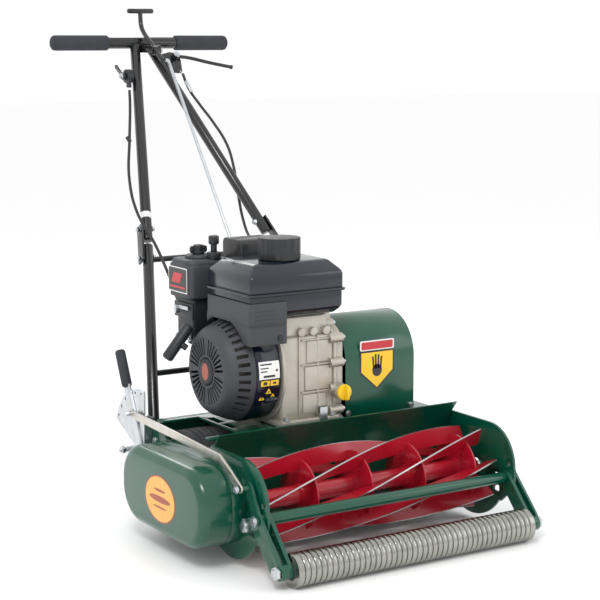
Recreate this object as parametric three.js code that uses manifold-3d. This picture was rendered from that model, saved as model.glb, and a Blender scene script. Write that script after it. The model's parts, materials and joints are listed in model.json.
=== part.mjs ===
// Powered cylinder (reel) mower, 20 inch cut.
// Millimetres. +X runs along the reel, away from the chain case; +Y runs from the front roller
// back to the handlebar; +Z is up and the ground is Z = 0.
import * as THREE from 'three';
import { mergeVertices } from 'three/addons/utils/BufferGeometryUtils.js';
import Module from 'manifold-3d';

// ---------------------------------------------------------------- driving dimensions
const CUT = 508;                        // cutting width
const GAP = 0.4;                        // air between touching pieces
const PLATE_IN = CUT / 2 + 10;          // inner face of each side plate
const PLATE_T = 5;
const PLATE_OUT = PLATE_IN + PLATE_T;
const ROLLER = { y: 0, z: 30, r: 30 };  // front roller axis and radius
const REEL = { y: 162, z: 107, r: 80 }; // cutting reel
const DRUM = { y: 392, z: 95, r: 95 };  // rear traction drum
const TIE = { y: 68, z: 103, r: 10.75 };
const JACK = { y: 285, z: 158 };        // jackshaft that feeds both chains
const CRANK = { y: 345, z: 308 };       // engine crankshaft
const BED_TOP = 204;
const BED_T = 4;
const BELT_X = 100;                     // centre plane of the drive belt
const HANDLE_TOP = { y: 1033, z: 903 };
const HANDLE_JOINT = { x: 143, y: 732, z: 500 };
const HANDLE_FOOT = { x: 252, y: 500, z: 184 };
const LEG_R = 11;                       // handle tubes, 22 mm
const BAR_R = 12.7;                     // handlebar tube, 25.4 mm
const LEVER_PIVOT = { y: 487, z: 144 }; // height lever
const LEVER_PIN = { y: 513, z: 206 };   // link bar pin on the height lever
const ARM_PIN = { y: 98, z: 154 };      // link bar pin on the roller arm
const CLAMP = { y: 100, z: 87 };        // clamp knob in the plate's slot
const BLADES = 7;
const SPIDERS = 5;

// ---------------------------------------------------------------- materials
const paint = (color, roughness, metalness) =>
  new THREE.MeshStandardMaterial({ color, roughness, metalness });
const GREEN = () => paint(0x0b5a45, 0.3, 0.1);
const RED = () => paint(0xb01f2e, 0.35, 0.1);
const BLACK = () => paint(0x202226, 0.4, 0.2);
const PLASTIC = () => paint(0x2b2d30, 0.55, 0);
const FOAM = () => paint(0x33353a, 0.95, 0);
const RUBBER = () => paint(0x26272a, 0.85, 0);
const CAST = () => paint(0xaaa59b, 0.5, 0.8);
const ZINC = () => paint(0xc3c6c8, 0.3, 0.9);
const STEEL = () => paint(0x9b9c9e, 0.3, 0.9);
const YELLOW = () => paint(0xf2c419, 0.4, 0);

// ---------------------------------------------------------------- solids
const wasm = await Module();
wasm.setup();

function mergedIndex(geometry) {
  const bare = geometry.index ? geometry.toNonIndexed() : geometry.clone();
  for (const name of Object.keys(bare.attributes)) {
    if (name !== 'position') bare.deleteAttribute(name);
  }
  const merged = mergeVertices(bare, 1e-3);
  const index = [];
  for (let i = 0; i < merged.index.count; i += 3) {
    const [a, b, c] = [0, 1, 2].map((k) => merged.index.getX(i + k));
    if (a !== b && b !== c && c !== a) index.push(a, b, c);
  }
  merged.setIndex(index);
  return merged;
}

// A closed solid for joining and cutting; a shape turned inside out is turned back.
function solid(geometry) {
  const merged = mergedIndex(geometry);
  const vertProperties = new Float32Array(merged.attributes.position.array);
  const triVerts = new Uint32Array(merged.index.array);
  const p = (i) => new THREE.Vector3().fromArray(vertProperties, 3 * i);
  let volume = 0;
  for (let i = 0; i < triVerts.length; i += 3) {
    const [a, b, c] = [0, 1, 2].map((k) => p(triVerts[i + k]));
    volume += a.dot(b.cross(c));
  }
  if (volume < 0) {
    for (let i = 0; i < triVerts.length; i += 3) {
      [triVerts[i], triVerts[i + 1]] = [triVerts[i + 1], triVerts[i]];
    }
  }
  return new wasm.Manifold(new wasm.Mesh({ numProp: 3, vertProperties, triVerts }));
}

function join(...geometries) {
  return geometries.map(solid).reduce((a, b) => a.add(b));
}

function cut(body, ...tools) {
  const start = body instanceof THREE.BufferGeometry ? solid(body) : body;
  return tools.map(solid).reduce((a, b) => a.subtract(b), start);
}

function toGeometry(shape) {
  if (shape instanceof THREE.BufferGeometry) return toGeometry(solid(shape));
  const mesh = shape.getMesh();
  const geometry = new THREE.BufferGeometry();
  geometry.setAttribute('position', new THREE.BufferAttribute(new Float32Array(mesh.vertProperties), 3));
  geometry.setIndex(new THREE.BufferAttribute(new Uint32Array(mesh.triVerts), 1));
  geometry.computeVertexNormals();
  return geometry;
}

const mower = new THREE.Group();

function part(name, shape, material) {
  const mesh = new THREE.Mesh(toGeometry(shape), material);
  mesh.name = name;
  mower.add(mesh);
  return mesh;
}

// ---------------------------------------------------------------- shape helpers
const V = (x, y, z) => new THREE.Vector3(x, y, z);

function block(x0, x1, y0, y1, z0, z1) {
  const box = new THREE.BoxGeometry(x1 - x0, y1 - y0, z1 - z0);
  return box.translate((x0 + x1) / 2, (y0 + y1) / 2, (z0 + z1) / 2);
}

function rod(a, b, r, sides = 16) {
  const span = b.clone().sub(a);
  const geometry = new THREE.CylinderGeometry(r, r, span.length(), sides);
  const turn = new THREE.Quaternion().setFromUnitVectors(V(0, 1, 0), span.normalize());
  return geometry.applyQuaternion(turn).translate(...a.clone().add(b).multiplyScalar(0.5).toArray());
}

const rodX = (x0, x1, at, r, sides = 16) => rod(V(x0, at.y, at.z), V(x1, at.y, at.z), r, sides);

// An outline in the side view (Y across, Z up) given thickness from x0 to x1.
function slabX(shape, x0, x1, curveSegments = 8) {
  const geometry = new THREE.ExtrudeGeometry(shape, { depth: x1 - x0, bevelEnabled: false, curveSegments });
  geometry.applyMatrix4(new THREE.Matrix4().makeBasis(V(0, 1, 0), V(0, 0, 1), V(1, 0, 0)));
  return geometry.translate(x0, 0, 0);
}

// An outline in the side view turned about the X axis through `at`, from [x, radius] points.
function turnedX(profile, at, sides = 32) {
  const points = profile.map(([x, r]) => new THREE.Vector2(r, x));
  const geometry = new THREE.LatheGeometry(points, sides);
  return geometry.rotateZ(-Math.PI / 2).translate(0, at.y, at.z);
}

function turnedZ(profile, x, y, sides = 24) {
  const points = profile.map(([z, r]) => new THREE.Vector2(r, z));
  return new THREE.LatheGeometry(points, sides).rotateX(Math.PI / 2).translate(x, y, 0);
}

function outline(points) {
  return new THREE.Shape(points.map(([y, z]) => new THREE.Vector2(y, z)));
}

function roundedBox(y0, y1, z0, z1, r) {
  const shape = new THREE.Shape();
  shape.moveTo(y0 + r, z0);
  shape.absarc(y1 - r, z0 + r, r, -Math.PI / 2, 0);
  shape.absarc(y1 - r, z1 - r, r, 0, Math.PI / 2);
  shape.absarc(y0 + r, z1 - r, r, Math.PI / 2, Math.PI);
  shape.absarc(y0 + r, z0 + r, r, Math.PI, 1.5 * Math.PI);
  return shape;
}

// A round bar swept along a smooth or straight-sided route.
function sweep(points, r, sides = 8, steps = 24) {
  const path = new THREE.CatmullRomCurve3(points, false, 'centripetal');
  const circle = new THREE.Shape();
  circle.absarc(0, 0, r, 0, 2 * Math.PI);
  const flat = new THREE.Shape(circle.getSpacedPoints(sides).slice(0, sides));
  return new THREE.ExtrudeGeometry(flat, { steps, extrudePath: path, bevelEnabled: false });
}

// A flat strip between two points in the side view, with round ends.
function strip(a, b, halfWidth, x0, x1) {
  const angle = Math.atan2(b.z - a.z, b.y - a.y);
  const shape = new THREE.Shape();
  shape.absarc(b.y, b.z, halfWidth, angle - Math.PI / 2, angle + Math.PI / 2);
  shape.absarc(a.y, a.z, halfWidth, angle + Math.PI / 2, angle + 1.5 * Math.PI);
  return slabX(shape, x0, x1, 4);
}

// A loop of belt or chain round two wheels, drawn as the band between two offset outlines.
function loop(a, ra, b, rb, thickness, x0, x1) {
  const band = (grow) => {
    const distance = Math.hypot(b.y - a.y, b.z - a.z);
    const along = Math.atan2(b.z - a.z, b.y - a.y);
    const lean = Math.acos((ra - rb) / distance);
    const shape = new THREE.Shape();
    shape.absarc(b.y, b.z, rb + grow, along - lean, along + lean);
    shape.absarc(a.y, a.z, ra + grow, along + lean, along - lean + 2 * Math.PI);
    return shape;
  };
  return cut(slabX(band(thickness), x0, x1, 8), slabX(band(0), x0 - 1, x1 + 1, 8));
}

// ---------------------------------------------------------------- side plates
// Each plate is one 5 mm sheet: a bay round the reel at the front, a rear post for the handle.
function plateOutline() {
  const shape = new THREE.Shape();
  shape.moveTo(48, 120);
  shape.lineTo(48, 84);
  shape.lineTo(86, 52);
  shape.absarc(REEL.y + 12, REEL.z, 98, Math.PI * 1.18, Math.PI * 1.72);
  shape.lineTo(300, 62);
  shape.lineTo(440, 62);
  shape.lineTo(520, 104);
  shape.lineTo(520, 184);
  shape.lineTo(506, 197);
  shape.lineTo(428, 197);
  shape.lineTo(420, 172);
  shape.lineTo(262, 172);
  shape.lineTo(245, 197);
  shape.absarc(126, 121, 76, Math.PI / 2, Math.PI);
  return shape;
}

for (const [side, s] of [['left', -1], ['right', 1]]) {
  const [x0, x1] = s < 0 ? [-PLATE_OUT, -PLATE_IN] : [PLATE_IN, PLATE_OUT];
  const holes = [
    rodX(x0 - 1, x1 + 1, REEL, 13),
    rodX(x0 - 1, x1 + 1, DRUM, 13),
    rodX(x0 - 1, x1 + 1, JACK, 11),
    rodX(x0 - 1, x1 + 1, { y: 66, z: 128 }, 6, 12),
    block(x0 - 1, x1 + 1, CLAMP.y - 9, CLAMP.y + 8, CLAMP.z - 18, CLAMP.z + 18),
  ];
  part(`side_plate_${side}`, cut(slabX(plateOutline(), x0, x1, 8), ...holes), GREEN());
}

// ---------------------------------------------------------------- frame between the plates
part('tie_bar', rodX(-PLATE_IN + GAP, PLATE_IN - GAP, TIE, TIE.r, 16), GREEN());

// Sheet deflector behind the reel, curling forward at its top edge.
{
  const inner = [[223, 217], [240, 196], [252, 168], [256, 138], [254, 106], [246, 78], [234, 58]];
  const outer = inner.map(([y, z]) => [y + 2.4, z + 1]).reverse();
  part('grass_shield', slabX(outline([...inner, ...outer]), -PLATE_IN + GAP, PLATE_IN - GAP), GREEN());
}

part('bed_bar', slabX(outline([[206, 28.1], [224, 28.1], [236, 40], [236, 56], [228, 54], [206, 36]]),
  -PLATE_IN + GAP, PLATE_IN - GAP), GREEN());
part('bed_knife', slabX(outline([[180, 23.6], [222, 23.6], [222, 27.6], [182, 27.6]]), -CUT / 2, CUT / 2), STEEL());

const IDLER = { y: 446, z: 250 };       // cross shaft of the belt idler
// Engine bed: deck, a front rail under the shield's lip and a rear rail across both plates.
{
  const z0 = BED_TOP - BED_T;
  const deck = block(-194, 236, 258, 440, z0, BED_TOP);
  const rear = block(-PLATE_OUT, PLATE_OUT, 430, 452, z0, BED_TOP);
  const rearLip = block(-PLATE_IN + GAP, PLATE_IN - GAP, 448, 452, 178, z0 + 1);
  const front = block(-PLATE_IN + GAP, PLATE_IN - GAP, 258, 276, z0, BED_TOP);
  const slots = [
    block(-188, -172, 362, 408, z0 - 1, BED_TOP + 1),
    block(-188, -172, 312, 352, z0 - 1, BED_TOP + 1),
    block(BELT_X - 18, BELT_X + 18, 268, 394, z0 - 1, BED_TOP + 1),
  ];
  const lugs = [20, 150].map((x) => block(x, x + 4, 436.5, 456, BED_TOP - 1, 262));
  const bore = rodX(0, 200, IDLER, 7.6, 16);
  part('bed_plate', cut(join(deck, rear, rearLip, front, ...lugs), ...slots, bore), GREEN());
}

// ---------------------------------------------------------------- chain case on the left plate
const CASE = { y0: 121, y1: 436, z0: 35, z1: 180, r: 66, x: -297, face: -356 };
{
  const wall = 3;
  const back = slabX(roundedBox(CASE.y0, CASE.y1, CASE.z0, CASE.z1, CASE.r), CASE.x, -PLATE_OUT - GAP, 4);
  const hollow = slabX(
    roundedBox(CASE.y0 + wall, CASE.y1 - wall, CASE.z0 + wall, CASE.z1 - wall, CASE.r - wall),
    CASE.x - 1, -PLATE_OUT - GAP - wall, 4);
  const holes = [REEL, DRUM, JACK].map((at) => rodX(CASE.x - 1, -PLATE_OUT, at, 13));
  part('chain_case', cut(back, hollow, ...holes), GREEN());
}
// Pressed cover: the sides draw in to a flat oval face with a rounded shoulder.
{
  const draw = 18;
  const pressing = (wall) => {
    const inset = draw + wall;
    const face = roundedBox(CASE.y0 + inset, CASE.y1 - inset, CASE.z0 + inset, CASE.z1 - inset, CASE.r - inset);
    const geometry = new THREE.ExtrudeGeometry(face, {
      depth: 60, bevelEnabled: true, bevelThickness: draw, bevelSize: draw, bevelSegments: 3, curveSegments: 4,
    });
    geometry.applyMatrix4(new THREE.Matrix4().makeBasis(V(0, 1, 0), V(0, 0, 1), V(1, 0, 0)));
    return geometry.translate(CASE.face + draw + wall, 0, 0);
  };
  const open = block(CASE.x - GAP, CASE.x + 60, 0, 600, -50, 300);
  part('chain_cover', cut(pressing(0), pressing(2.5), open), GREEN());
}

const CHAIN_A = -289;                   // jackshaft to reel
const CHAIN_B = -309;                   // jackshaft to drum
part('reel_chain', loop(JACK, 14.5, REEL, 12, 4, CHAIN_A - 3, CHAIN_A + 3), STEEL());
part('drum_chain', loop(JACK, 10.5, DRUM, 32.5, 4, CHAIN_B - 3, CHAIN_B + 3), STEEL());

// ---------------------------------------------------------------- cutting reel
function helixBlade(turn) {
  const steps = 10;
  const half = CUT / 2;
  const twist = THREE.MathUtils.degToRad(-112);
  const root = REEL.r - 33;
  const positions = [];
  const ring = [[root, -1.6], [REEL.r, -1.6], [REEL.r, 1.6], [root, 1.6]];
  for (let i = 0; i <= steps; i++) {
    const x = -half + (CUT * i) / steps;
    const angle = turn + twist * (i / steps - 0.5);
    for (const [radius, offset] of ring) {
      const y = REEL.y + radius * Math.cos(angle) - offset * Math.sin(angle);
      const z = REEL.z + radius * Math.sin(angle) + offset * Math.cos(angle);
      positions.push(x, y, z);
    }
  }
  const index = [0, 1, 2, 0, 2, 3];
  for (let i = 0; i < steps; i++) {
    for (let k = 0; k < 4; k++) {
      const a = 4 * i + k;
      const b = 4 * i + ((k + 1) % 4);
      index.push(a, a + 4, b, b, a + 4, b + 4);
    }
  }
  const last = 4 * steps;
  index.push(last, last + 2, last + 1, last, last + 3, last + 2);
  const geometry = new THREE.BufferGeometry();
  geometry.setAttribute('position', new THREE.Float32BufferAttribute(positions, 3));
  geometry.setIndex(index);
  return geometry;
}
{
  const half = CUT / 2;
  const pieces = [
    rodX(-half - 2, half + 2, REEL, 17, 16),
    rodX(CHAIN_A - 6, PLATE_OUT + 8, REEL, 7.5, 16),
    rodX(CHAIN_A - 2, CHAIN_A + 2, REEL, 11.5, 20),
  ];
  for (let i = 0; i < SPIDERS; i++) {
    const x = -half + 3 + 116.5 * i;
    pieces.push(rodX(x - 2, x + 2, REEL, REEL.r - 16, 16));
  }
  for (let i = 0; i < BLADES; i++) pieces.push(helixBlade(2 * Math.PI * (0.317 + i / BLADES)));
  part('cutting_reel', join(...pieces), RED());
}

// ---------------------------------------------------------------- rear drum
{
  const half = 250;
  part('drum_sleeve', cut(rodX(-half, half, DRUM, DRUM.r, 32),
    rodX(-half - 1, half + 1, DRUM, 86.5, 20)), RUBBER());
  const webs = [-half + 12, 0, half - 12].map((x) => rodX(x - 2, x + 2, DRUM, 85, 16));
  const shell = cut(rodX(-half + 2, half - 2, DRUM, 85.2, 16),
    rodX(-half, half, DRUM, 82, 16));
  const shaft = join(
    rodX(CHAIN_B - 6, PLATE_OUT + 8, DRUM, 10, 16),
    rodX(CHAIN_B - 2, CHAIN_B + 2, DRUM, 32, 20));
  const vents = [0, 1, 2].map((i) => {
    const a = (i * 2 * Math.PI) / 3;
    return rodX(-half, half, { y: DRUM.y + 48 * Math.cos(a), z: DRUM.z + 48 * Math.sin(a) }, 14, 6);
  });
  const cage = cut(webs.map(solid).reduce((a, b) => a.add(b), shell), ...vents);
  part('drum_core', cage.add(shaft), STEEL());
}

// ---------------------------------------------------------------- jackshaft and belt
part('jackshaft', join(
  rodX(CHAIN_B - 6, PLATE_OUT + 8, JACK, 7, 16),
  rodX(CHAIN_A - 2, CHAIN_A + 2, JACK, 14, 20),
  rodX(CHAIN_B - 2, CHAIN_B + 2, JACK, 10, 16)), STEEL());

function pulley(at, r, bore) {
  const profile = [
    [BELT_X - 11, bore], [BELT_X - 11, r + 5], [BELT_X - 8, r + 5], [BELT_X - 7, r],
    [BELT_X + 7, r], [BELT_X + 8, r + 5], [BELT_X + 11, r + 5], [BELT_X + 11, bore],
    [BELT_X - 11, bore],
  ];
  return turnedX(profile, at, 16);
}
part('jackshaft_pulley', pulley(JACK, 21, 7.5), STEEL());
part('engine_pulley', pulley(CRANK, 20, 10), STEEL());
part('drive_belt', loop(JACK, 21.5, CRANK, 20.5, 6, BELT_X - 6, BELT_X + 6), RUBBER());

// Arched sheet guard over the engine pulley: open towards the engine, closed at its outer end.
{
  const [x0, x1, r] = [30, 188, 83];
  const arch = (grow, foot) => {
    const shape = new THREE.Shape();
    shape.moveTo(CRANK.y - r - grow, foot);
    shape.lineTo(CRANK.y + r + grow, foot);
    shape.absarc(CRANK.y, CRANK.z, r + grow, 0, Math.PI);
    return shape;
  };
  const shell = cut(slabX(arch(0, BED_TOP + GAP), x0, x1, 20), slabX(arch(-2, 0), x0 - 1, x1 - 2, 20),
    block(x0 - 1, x1 - 2, CRANK.y + 60, CRANK.y + r + 5, 0, 262));
  part('belt_guard', shell, GREEN());
}

// Idler arm: a cross shaft behind the engine, a rod arm at its inner end, the roller arm in the guard.
const ROD_PIN = { y: 484, z: 236 };
const IDLER_ROLLER = { y: 370, z: 208 };
part('idler_arm', join(
  rodX(14.8, BELT_X + 14, IDLER, 7, 16),
  strip(IDLER, ROD_PIN, 9, 14.8, 18),
  strip(IDLER, IDLER_ROLLER, 8, BELT_X + 9, BELT_X + 13),
  rodX(BELT_X - 7, BELT_X + 10, IDLER_ROLLER, 15, 20)), ZINC());

// ---------------------------------------------------------------- engine
const BLOWER = { x0: -170, x1: -119, r: 98 };
{
  const base = block(-116, 14, 258, 440, BED_TOP + GAP, 372);
  const upper = block(-104, 2, 268, 410, 371, 409);
  const cover = slabX(roundedBox(262, 436, 212, 384, 40), 13, 24, 6);
  const filler = rod(V(12, 262, 262), V(12, 244, 262), 15, 16);
  const bore = rodX(-120, 30, CRANK, 11, 16);
  const well = rod(V(12, 243, 262), V(12, 256, 262), 9, 12);
  part('crankcase', cut(join(base, upper, cover, filler), bore, well), CAST());
}
// Fan housing: a cup round the flywheel, open towards the starter cover.
part('blower_housing', turnedX([
  [BLOWER.x0, BLOWER.r - 5], [BLOWER.x0, BLOWER.r], [BLOWER.x1, BLOWER.r], [BLOWER.x1, 14],
  [BLOWER.x1 - 4, 14], [BLOWER.x1 - 4, BLOWER.r - 5], [BLOWER.x0, BLOWER.r - 5]], CRANK, 28), PLASTIC());
part('flywheel', cut(rodX(-160, -132, CRANK, 84, 32), rodX(-162, -130, CRANK, 10, 16)), CAST());
part('crankshaft', rodX(-168, BELT_X + 14, CRANK, 9.4, 16), STEEL());

// Starter cover: a slotted cone with a flat face, the rope reel inside.
{
  const shell = turnedX([
    [BLOWER.x0 - GAP, BLOWER.r - 3], [-176, BLOWER.r - 3], [-216, 78], [-222, 70], [-222, 0],
    [-219, 0], [-219, 69], [-214, 75], [-176, BLOWER.r - 7], [BLOWER.x0 - GAP, BLOWER.r - 7],
    [BLOWER.x0 - GAP, BLOWER.r - 3]], CRANK, 28);
  const slots = [];
  for (let i = 0; i < 12; i++) {
    const slot = new THREE.BoxGeometry(12, 26, 5).translate(-220, 52, 0);
    slots.push(slot.rotateX((2 * Math.PI * i) / 12 + 0.1).translate(0, CRANK.y, CRANK.z));
  }
  part('starter_cover', cut(shell, ...slots), PLASTIC());
}
part('starter_reel', cut(rodX(-206, -186, CRANK, 48, 24), rodX(-208, -184, CRANK, 12, 16)), PLASTIC());

// Upper shroud panel that wraps the engine's front left corner below the tank.
{
  const wrap = block(-190, -112, 240, 400, 366, 411);
  const hollow = block(-186, -100, 244, 401, 360, 412);
  const clear = rodX(-200, -100, CRANK, BLOWER.r + 2, 36);
  part('engine_shroud', cut(wrap, hollow, clear), PLASTIC());
}

// Fuel tank: a waist flange, chamfered shoulders, one neck under the cap.
const TANK = { x0: -188, x1: 10, y0: 240, y1: 400, z0: 412, flange: 456, z1: 512 };
const CAP = { x: -92, y: 300, r: 39 };
{
  const taper = (inset, z0, z1, chamfer) => {
    const shape = new THREE.Shape();
    const [a, b] = [TANK.x0 + inset, TANK.x1 - inset];
    shape.moveTo(a, z0);
    shape.lineTo(b, z0);
    shape.lineTo(b, z1 - chamfer);
    shape.lineTo(b - chamfer, z1);
    shape.lineTo(a + chamfer, z1);
    shape.lineTo(a, z1 - chamfer);
    const depth = TANK.y1 - TANK.y0 - 2 * inset;
    const geometry = new THREE.ExtrudeGeometry(shape, { depth, bevelEnabled: false });
    geometry.applyMatrix4(new THREE.Matrix4().makeBasis(V(1, 0, 0), V(0, 0, 1), V(0, -1, 0)));
    return geometry.translate(0, TANK.y1 - inset, 0);
  };
  const flange = block(TANK.x0 - 6, TANK.x1 + 6, TANK.y0 - 6, TANK.y1 + 6, TANK.flange, TANK.flange + 4);
  const neck = turnedZ([[TANK.z1 - 4, 0], [TANK.z1 - 4, 24], [TANK.z1 + 14, 24], [TANK.z1 + 14, 0]], CAP.x, CAP.y);
  const mouth = turnedZ([[TANK.z1 - 20, 0], [TANK.z1 - 20, 20], [TANK.z1 + 20, 20], [TANK.z1 + 20, 0]], CAP.x, CAP.y);
  const outside = join(taper(0, TANK.z0, TANK.z1, 24), flange, neck);
  part('fuel_tank', cut(outside, taper(3, TANK.z0 + 3, TANK.z1 - 3, 24), mouth), BLACK());
  part('fuel_cap', turnedZ([
    [TANK.z1 + 1, 25], [TANK.z1 + 1, CAP.r], [TANK.z1 + 36, CAP.r], [TANK.z1 + 41, CAP.r - 5],
    [TANK.z1 + 41, 0], [TANK.z1 + 16, 0], [TANK.z1 + 16, 25], [TANK.z1 + 1, 25]], CAP.x, CAP.y, 28), PLASTIC());
}

part('dipstick', join(
  rod(V(12, 243.4, 262), V(12, 236, 262), 15, 16),
  rod(V(12, 240, 262), V(12, 255, 262), 8, 12),
  block(9.5, 14.5, 224, 237, 248, 276)), YELLOW());

// Air cleaner behind the tank, with the carburettor and its choke slide below.
part('air_cleaner', join(
  slabX(roundedBox(432, 516, 428, 500, 12), -210, -118, 4),
  turnedZ([[499, 0], [499, 30], [508, 22], [508, 0]], -166, 474, 16)), PLASTIC());
part('air_cleaner_knob', join(
  turnedZ([[508.5, 0], [508.5, 12], [526, 10], [526, 0]], -166, 474, 12),
  block(-184, -148, 471, 477, 510, 522)), PLASTIC());
part('carburettor', join(
  block(-196, -150, 442, 506, 344, 427.5),
  block(-200, -195, 438, 510, 388, 418),
  rodX(-150, -117, { y: 470, z: 384 }, 14, 14),
  block(-118, -106, 440.5, 500, 350, 418)), PLASTIC());
part('choke_slide', join(
  block(-206, -204, 446, 486, 406, 413),
  block(-214, -204, 478, 486, 398, 413)), ZINC());
part('muffler', join(
  slabX(roundedBox(412, 484, 428, 536, 8), -108, -24, 3),
  rod(V(-66, 414, 424), V(-66, 430, 440), 12, 12)), BLACK());

// ---------------------------------------------------------------- starter handle
const ROPE_DIR = V(-0.62, 0.58, 0.528).normalize();
const GRIP_C = V(-238, 424, 352);
const GRIP_AXIS = V(0.78, -0.2, 0.55).cross(ROPE_DIR).cross(ROPE_DIR).negate().normalize();
{
  const tip = (t) => GRIP_C.clone().addScaledVector(GRIP_AXIS, t);
  const stem = GRIP_C.clone().addScaledVector(ROPE_DIR, -20);
  part('starter_handle', join(rod(tip(-38), tip(38), 11, 14), rod(GRIP_C, stem, 6, 10)), PLASTIC());
}

// ---------------------------------------------------------------- handle
const mirror = (p, s) => V(p.x * s, p.y, p.z);
const topOf = (s) => V(17 * s, HANDLE_TOP.y - 4, HANDLE_TOP.z - 6);
const JOINT = V(HANDLE_JOINT.x, HANDLE_JOINT.y, HANDLE_JOINT.z);
const FOOT = V(HANDLE_FOOT.x, HANDLE_FOOT.y, HANDLE_FOOT.z);
const UP = topOf(1).sub(JOINT).normalize();
const DOWN = FOOT.clone().sub(JOINT).normalize();
{
  const upper = [rodX(-211, 211, HANDLE_TOP, BAR_R, 20)];
  const lower = [];
  for (const s of [-1, 1]) {
    const knee = JOINT.clone().addScaledVector(UP, 6);
    const below = JOINT.clone().addScaledVector(DOWN, 6);
    upper.push(rod(topOf(s), mirror(knee, s), LEG_R, 12));
    lower.push(rod(mirror(below, s), mirror(FOOT, s), LEG_R, 12));
    const foot = [(PLATE_IN - GAP - 5) * s, (PLATE_IN - GAP) * s].sort((a, b) => a - b);
    lower.push(slabX(roundedBox(478, 512, 140, 200, 8), foot[0], foot[1], 4));
  }
  const at = (t) => JOINT.clone().addScaledVector(DOWN, t);
  for (const t of [40, 300]) lower.push(rod(mirror(at(t), -1), at(t), 6, 10));
  const ears = [-11, 8].map((x) => strip({ y: 1025, z: 899 }, { y: 965, z: 887 }, 8, x, x + 3));
  const pin = rodX(-12, 12, { y: 965, z: 887 }, 3.6, 10);
  part('handle_upper', join(...upper, ...ears, pin), BLACK());
  part('handle_lower', join(...lower), BLACK());
}
for (const [side, s] of [['left', -1], ['right', 1]]) {
  const a = mirror(JOINT.clone().addScaledVector(UP, 34), s);
  const b = mirror(JOINT.clone().addScaledVector(DOWN, 34), s);
  const out = s * (LEG_R + 2.6);
  const centre = a.clone().add(b).multiplyScalar(0.5);
  const plate = new THREE.BoxGeometry(4, 22, a.distanceTo(b) + 20);
  const turn = new THREE.Quaternion().setFromUnitVectors(V(0, 0, 1), a.clone().sub(b).normalize());
  plate.applyQuaternion(turn).translate(centre.x + out * 1.08, centre.y, centre.z);
  const bolt = (p) => rod(p.clone().add(V(out, 0, 0)), p.clone().add(V(out * 1.55, 0, 0)), 6, 6);
  part(`handle_clamp_${side}`, join(plate, bolt(a), bolt(b)), BLACK());
  const grip = [[s * 82, BAR_R + 0.3], [s * 82, 16.4], [s * 211, 16.4], [s * 213, 12],
    [s * 213, 0], [s * 211.4, 0], [s * 211.4, BAR_R + 0.3], [s * 82, BAR_R + 0.3]];
  part(`grip_${side}`, turnedX(grip, HANDLE_TOP, 20), FOAM());
}

// ---------------------------------------------------------------- controls on the handle
const DRIVE_PIVOT = { y: 965, z: 887 };
part('drive_lever', cut(join(
  rod(V(0, 1035, 972), V(0, 1029, 933), 5, 10),
  rod(V(0, 1029, 935), V(0, 930, 866), 5, 10),
  rod(V(-31, 1035, 972), V(31, 1035, 972), 5.5, 12),
  rodX(-7, 7, DRIVE_PIVOT, 10, 14)), rodX(-8, 8, DRIVE_PIVOT, 4.4, 12)), BLACK());
part('drive_rod', join(
  rod(V(13, 930, 866), V(22, ROD_PIN.y, ROD_PIN.z), 3.5, 10),
  rod(V(6, 930, 866), V(13, 930, 866), 3.5, 10)), ZINC());

// Clutch lever: its bracket is a plate in the plane of the handle, saddled to the right leg.
const CLUTCH_PIVOT = V(70, 1009, 871);
const HANDLE_NORMAL = V(0, -0.801, 0.598);
const HANDLE_RISE = V(0, 0.598, 0.801);
{
  const at = (x, rise, out) => CLUTCH_PIVOT.clone().add(V(x, 0, 0))
    .addScaledVector(HANDLE_RISE, rise).addScaledVector(HANDLE_NORMAL, out);
  const sheet = new THREE.Shape([[-38, 6], [-38, -36], [-4, -42], [6, -40], [12, -10], [12, 10], [-10, 14]]
    .map(([x, rise]) => new THREE.Vector2(x, rise)));
  const plate = new THREE.ExtrudeGeometry(sheet, { depth: 3, bevelEnabled: false });
  plate.applyMatrix4(new THREE.Matrix4().makeBasis(V(1, 0, 0), HANDLE_RISE, HANDLE_NORMAL));
  plate.translate(...at(0, 0, -1.5).toArray());
  const stud = rod(at(0, 0, -4), at(0, 0, 12.5), 3.5, 10);
  const head = rod(at(0, 0, 9.8), at(0, 0, 12.5), 6.5, 6);
  const saddle = rod(at(-32, -12, 0), at(-26, -12, 0), 6, 8);
  const leg = rod(topOf(1), JOINT, LEG_R + GAP, 16);
  part('clutch_bracket', cut(join(plate, stud, head, saddle), leg), BLACK());
  const hub = rod(at(0, 0, 2), at(0, 0, 8.2), 9, 12);
  const bar = rod(at(4, -1, 5.6), at(133, -32, 5.6), 3.8, 8);
  const bore = rod(at(0, 0, 0), at(0, 0, 10), 4, 12);
  part('clutch_lever', cut(join(hub, bar), bore), BLACK());
}

const THROTTLE = { y: 975, z: 832 };
part('throttle_housing', join(
  rodX(-68, -54, THROTTLE, 15, 14), block(-68, -62, 957, 972, 808, 826)), PLASTIC());
part('throttle_lever', join(
  rodX(-76, -68.5, THROTTLE, 8, 12),
  strip(THROTTLE, { y: 1008, z: 852 }, 4.5, -75, -72)), BLACK());

// Cables clipped along the legs, each a sheath with its inner wire.
part('clutch_cable', sweep([V(72, 975, 836), V(76, 957, 805), V(90, 932, 770), V(106, 905, 735), V(122, 868, 684),
  V(126, 848, 640), V(120, 820, 586), V(110, 780, 530), V(98, 735, 500), V(88, 690, 490), V(66, 630, 455),
  V(30, 560, 424), V(-20, 515, 408), V(-70, 502, 398), V(-104, 488, 392)], 3, 8, 26), RUBBER());
part('throttle_cable', sweep([V(-70, 952, 802), V(-80, 930, 775), V(-110, 874, 706), V(-141, 815, 624),
  V(-152, 760, 562), V(-146, 690, 500), V(-150, 620, 440), V(-165, 560, 408), V(-172, 512, 400)], 3, 8, 20), RUBBER());

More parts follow.
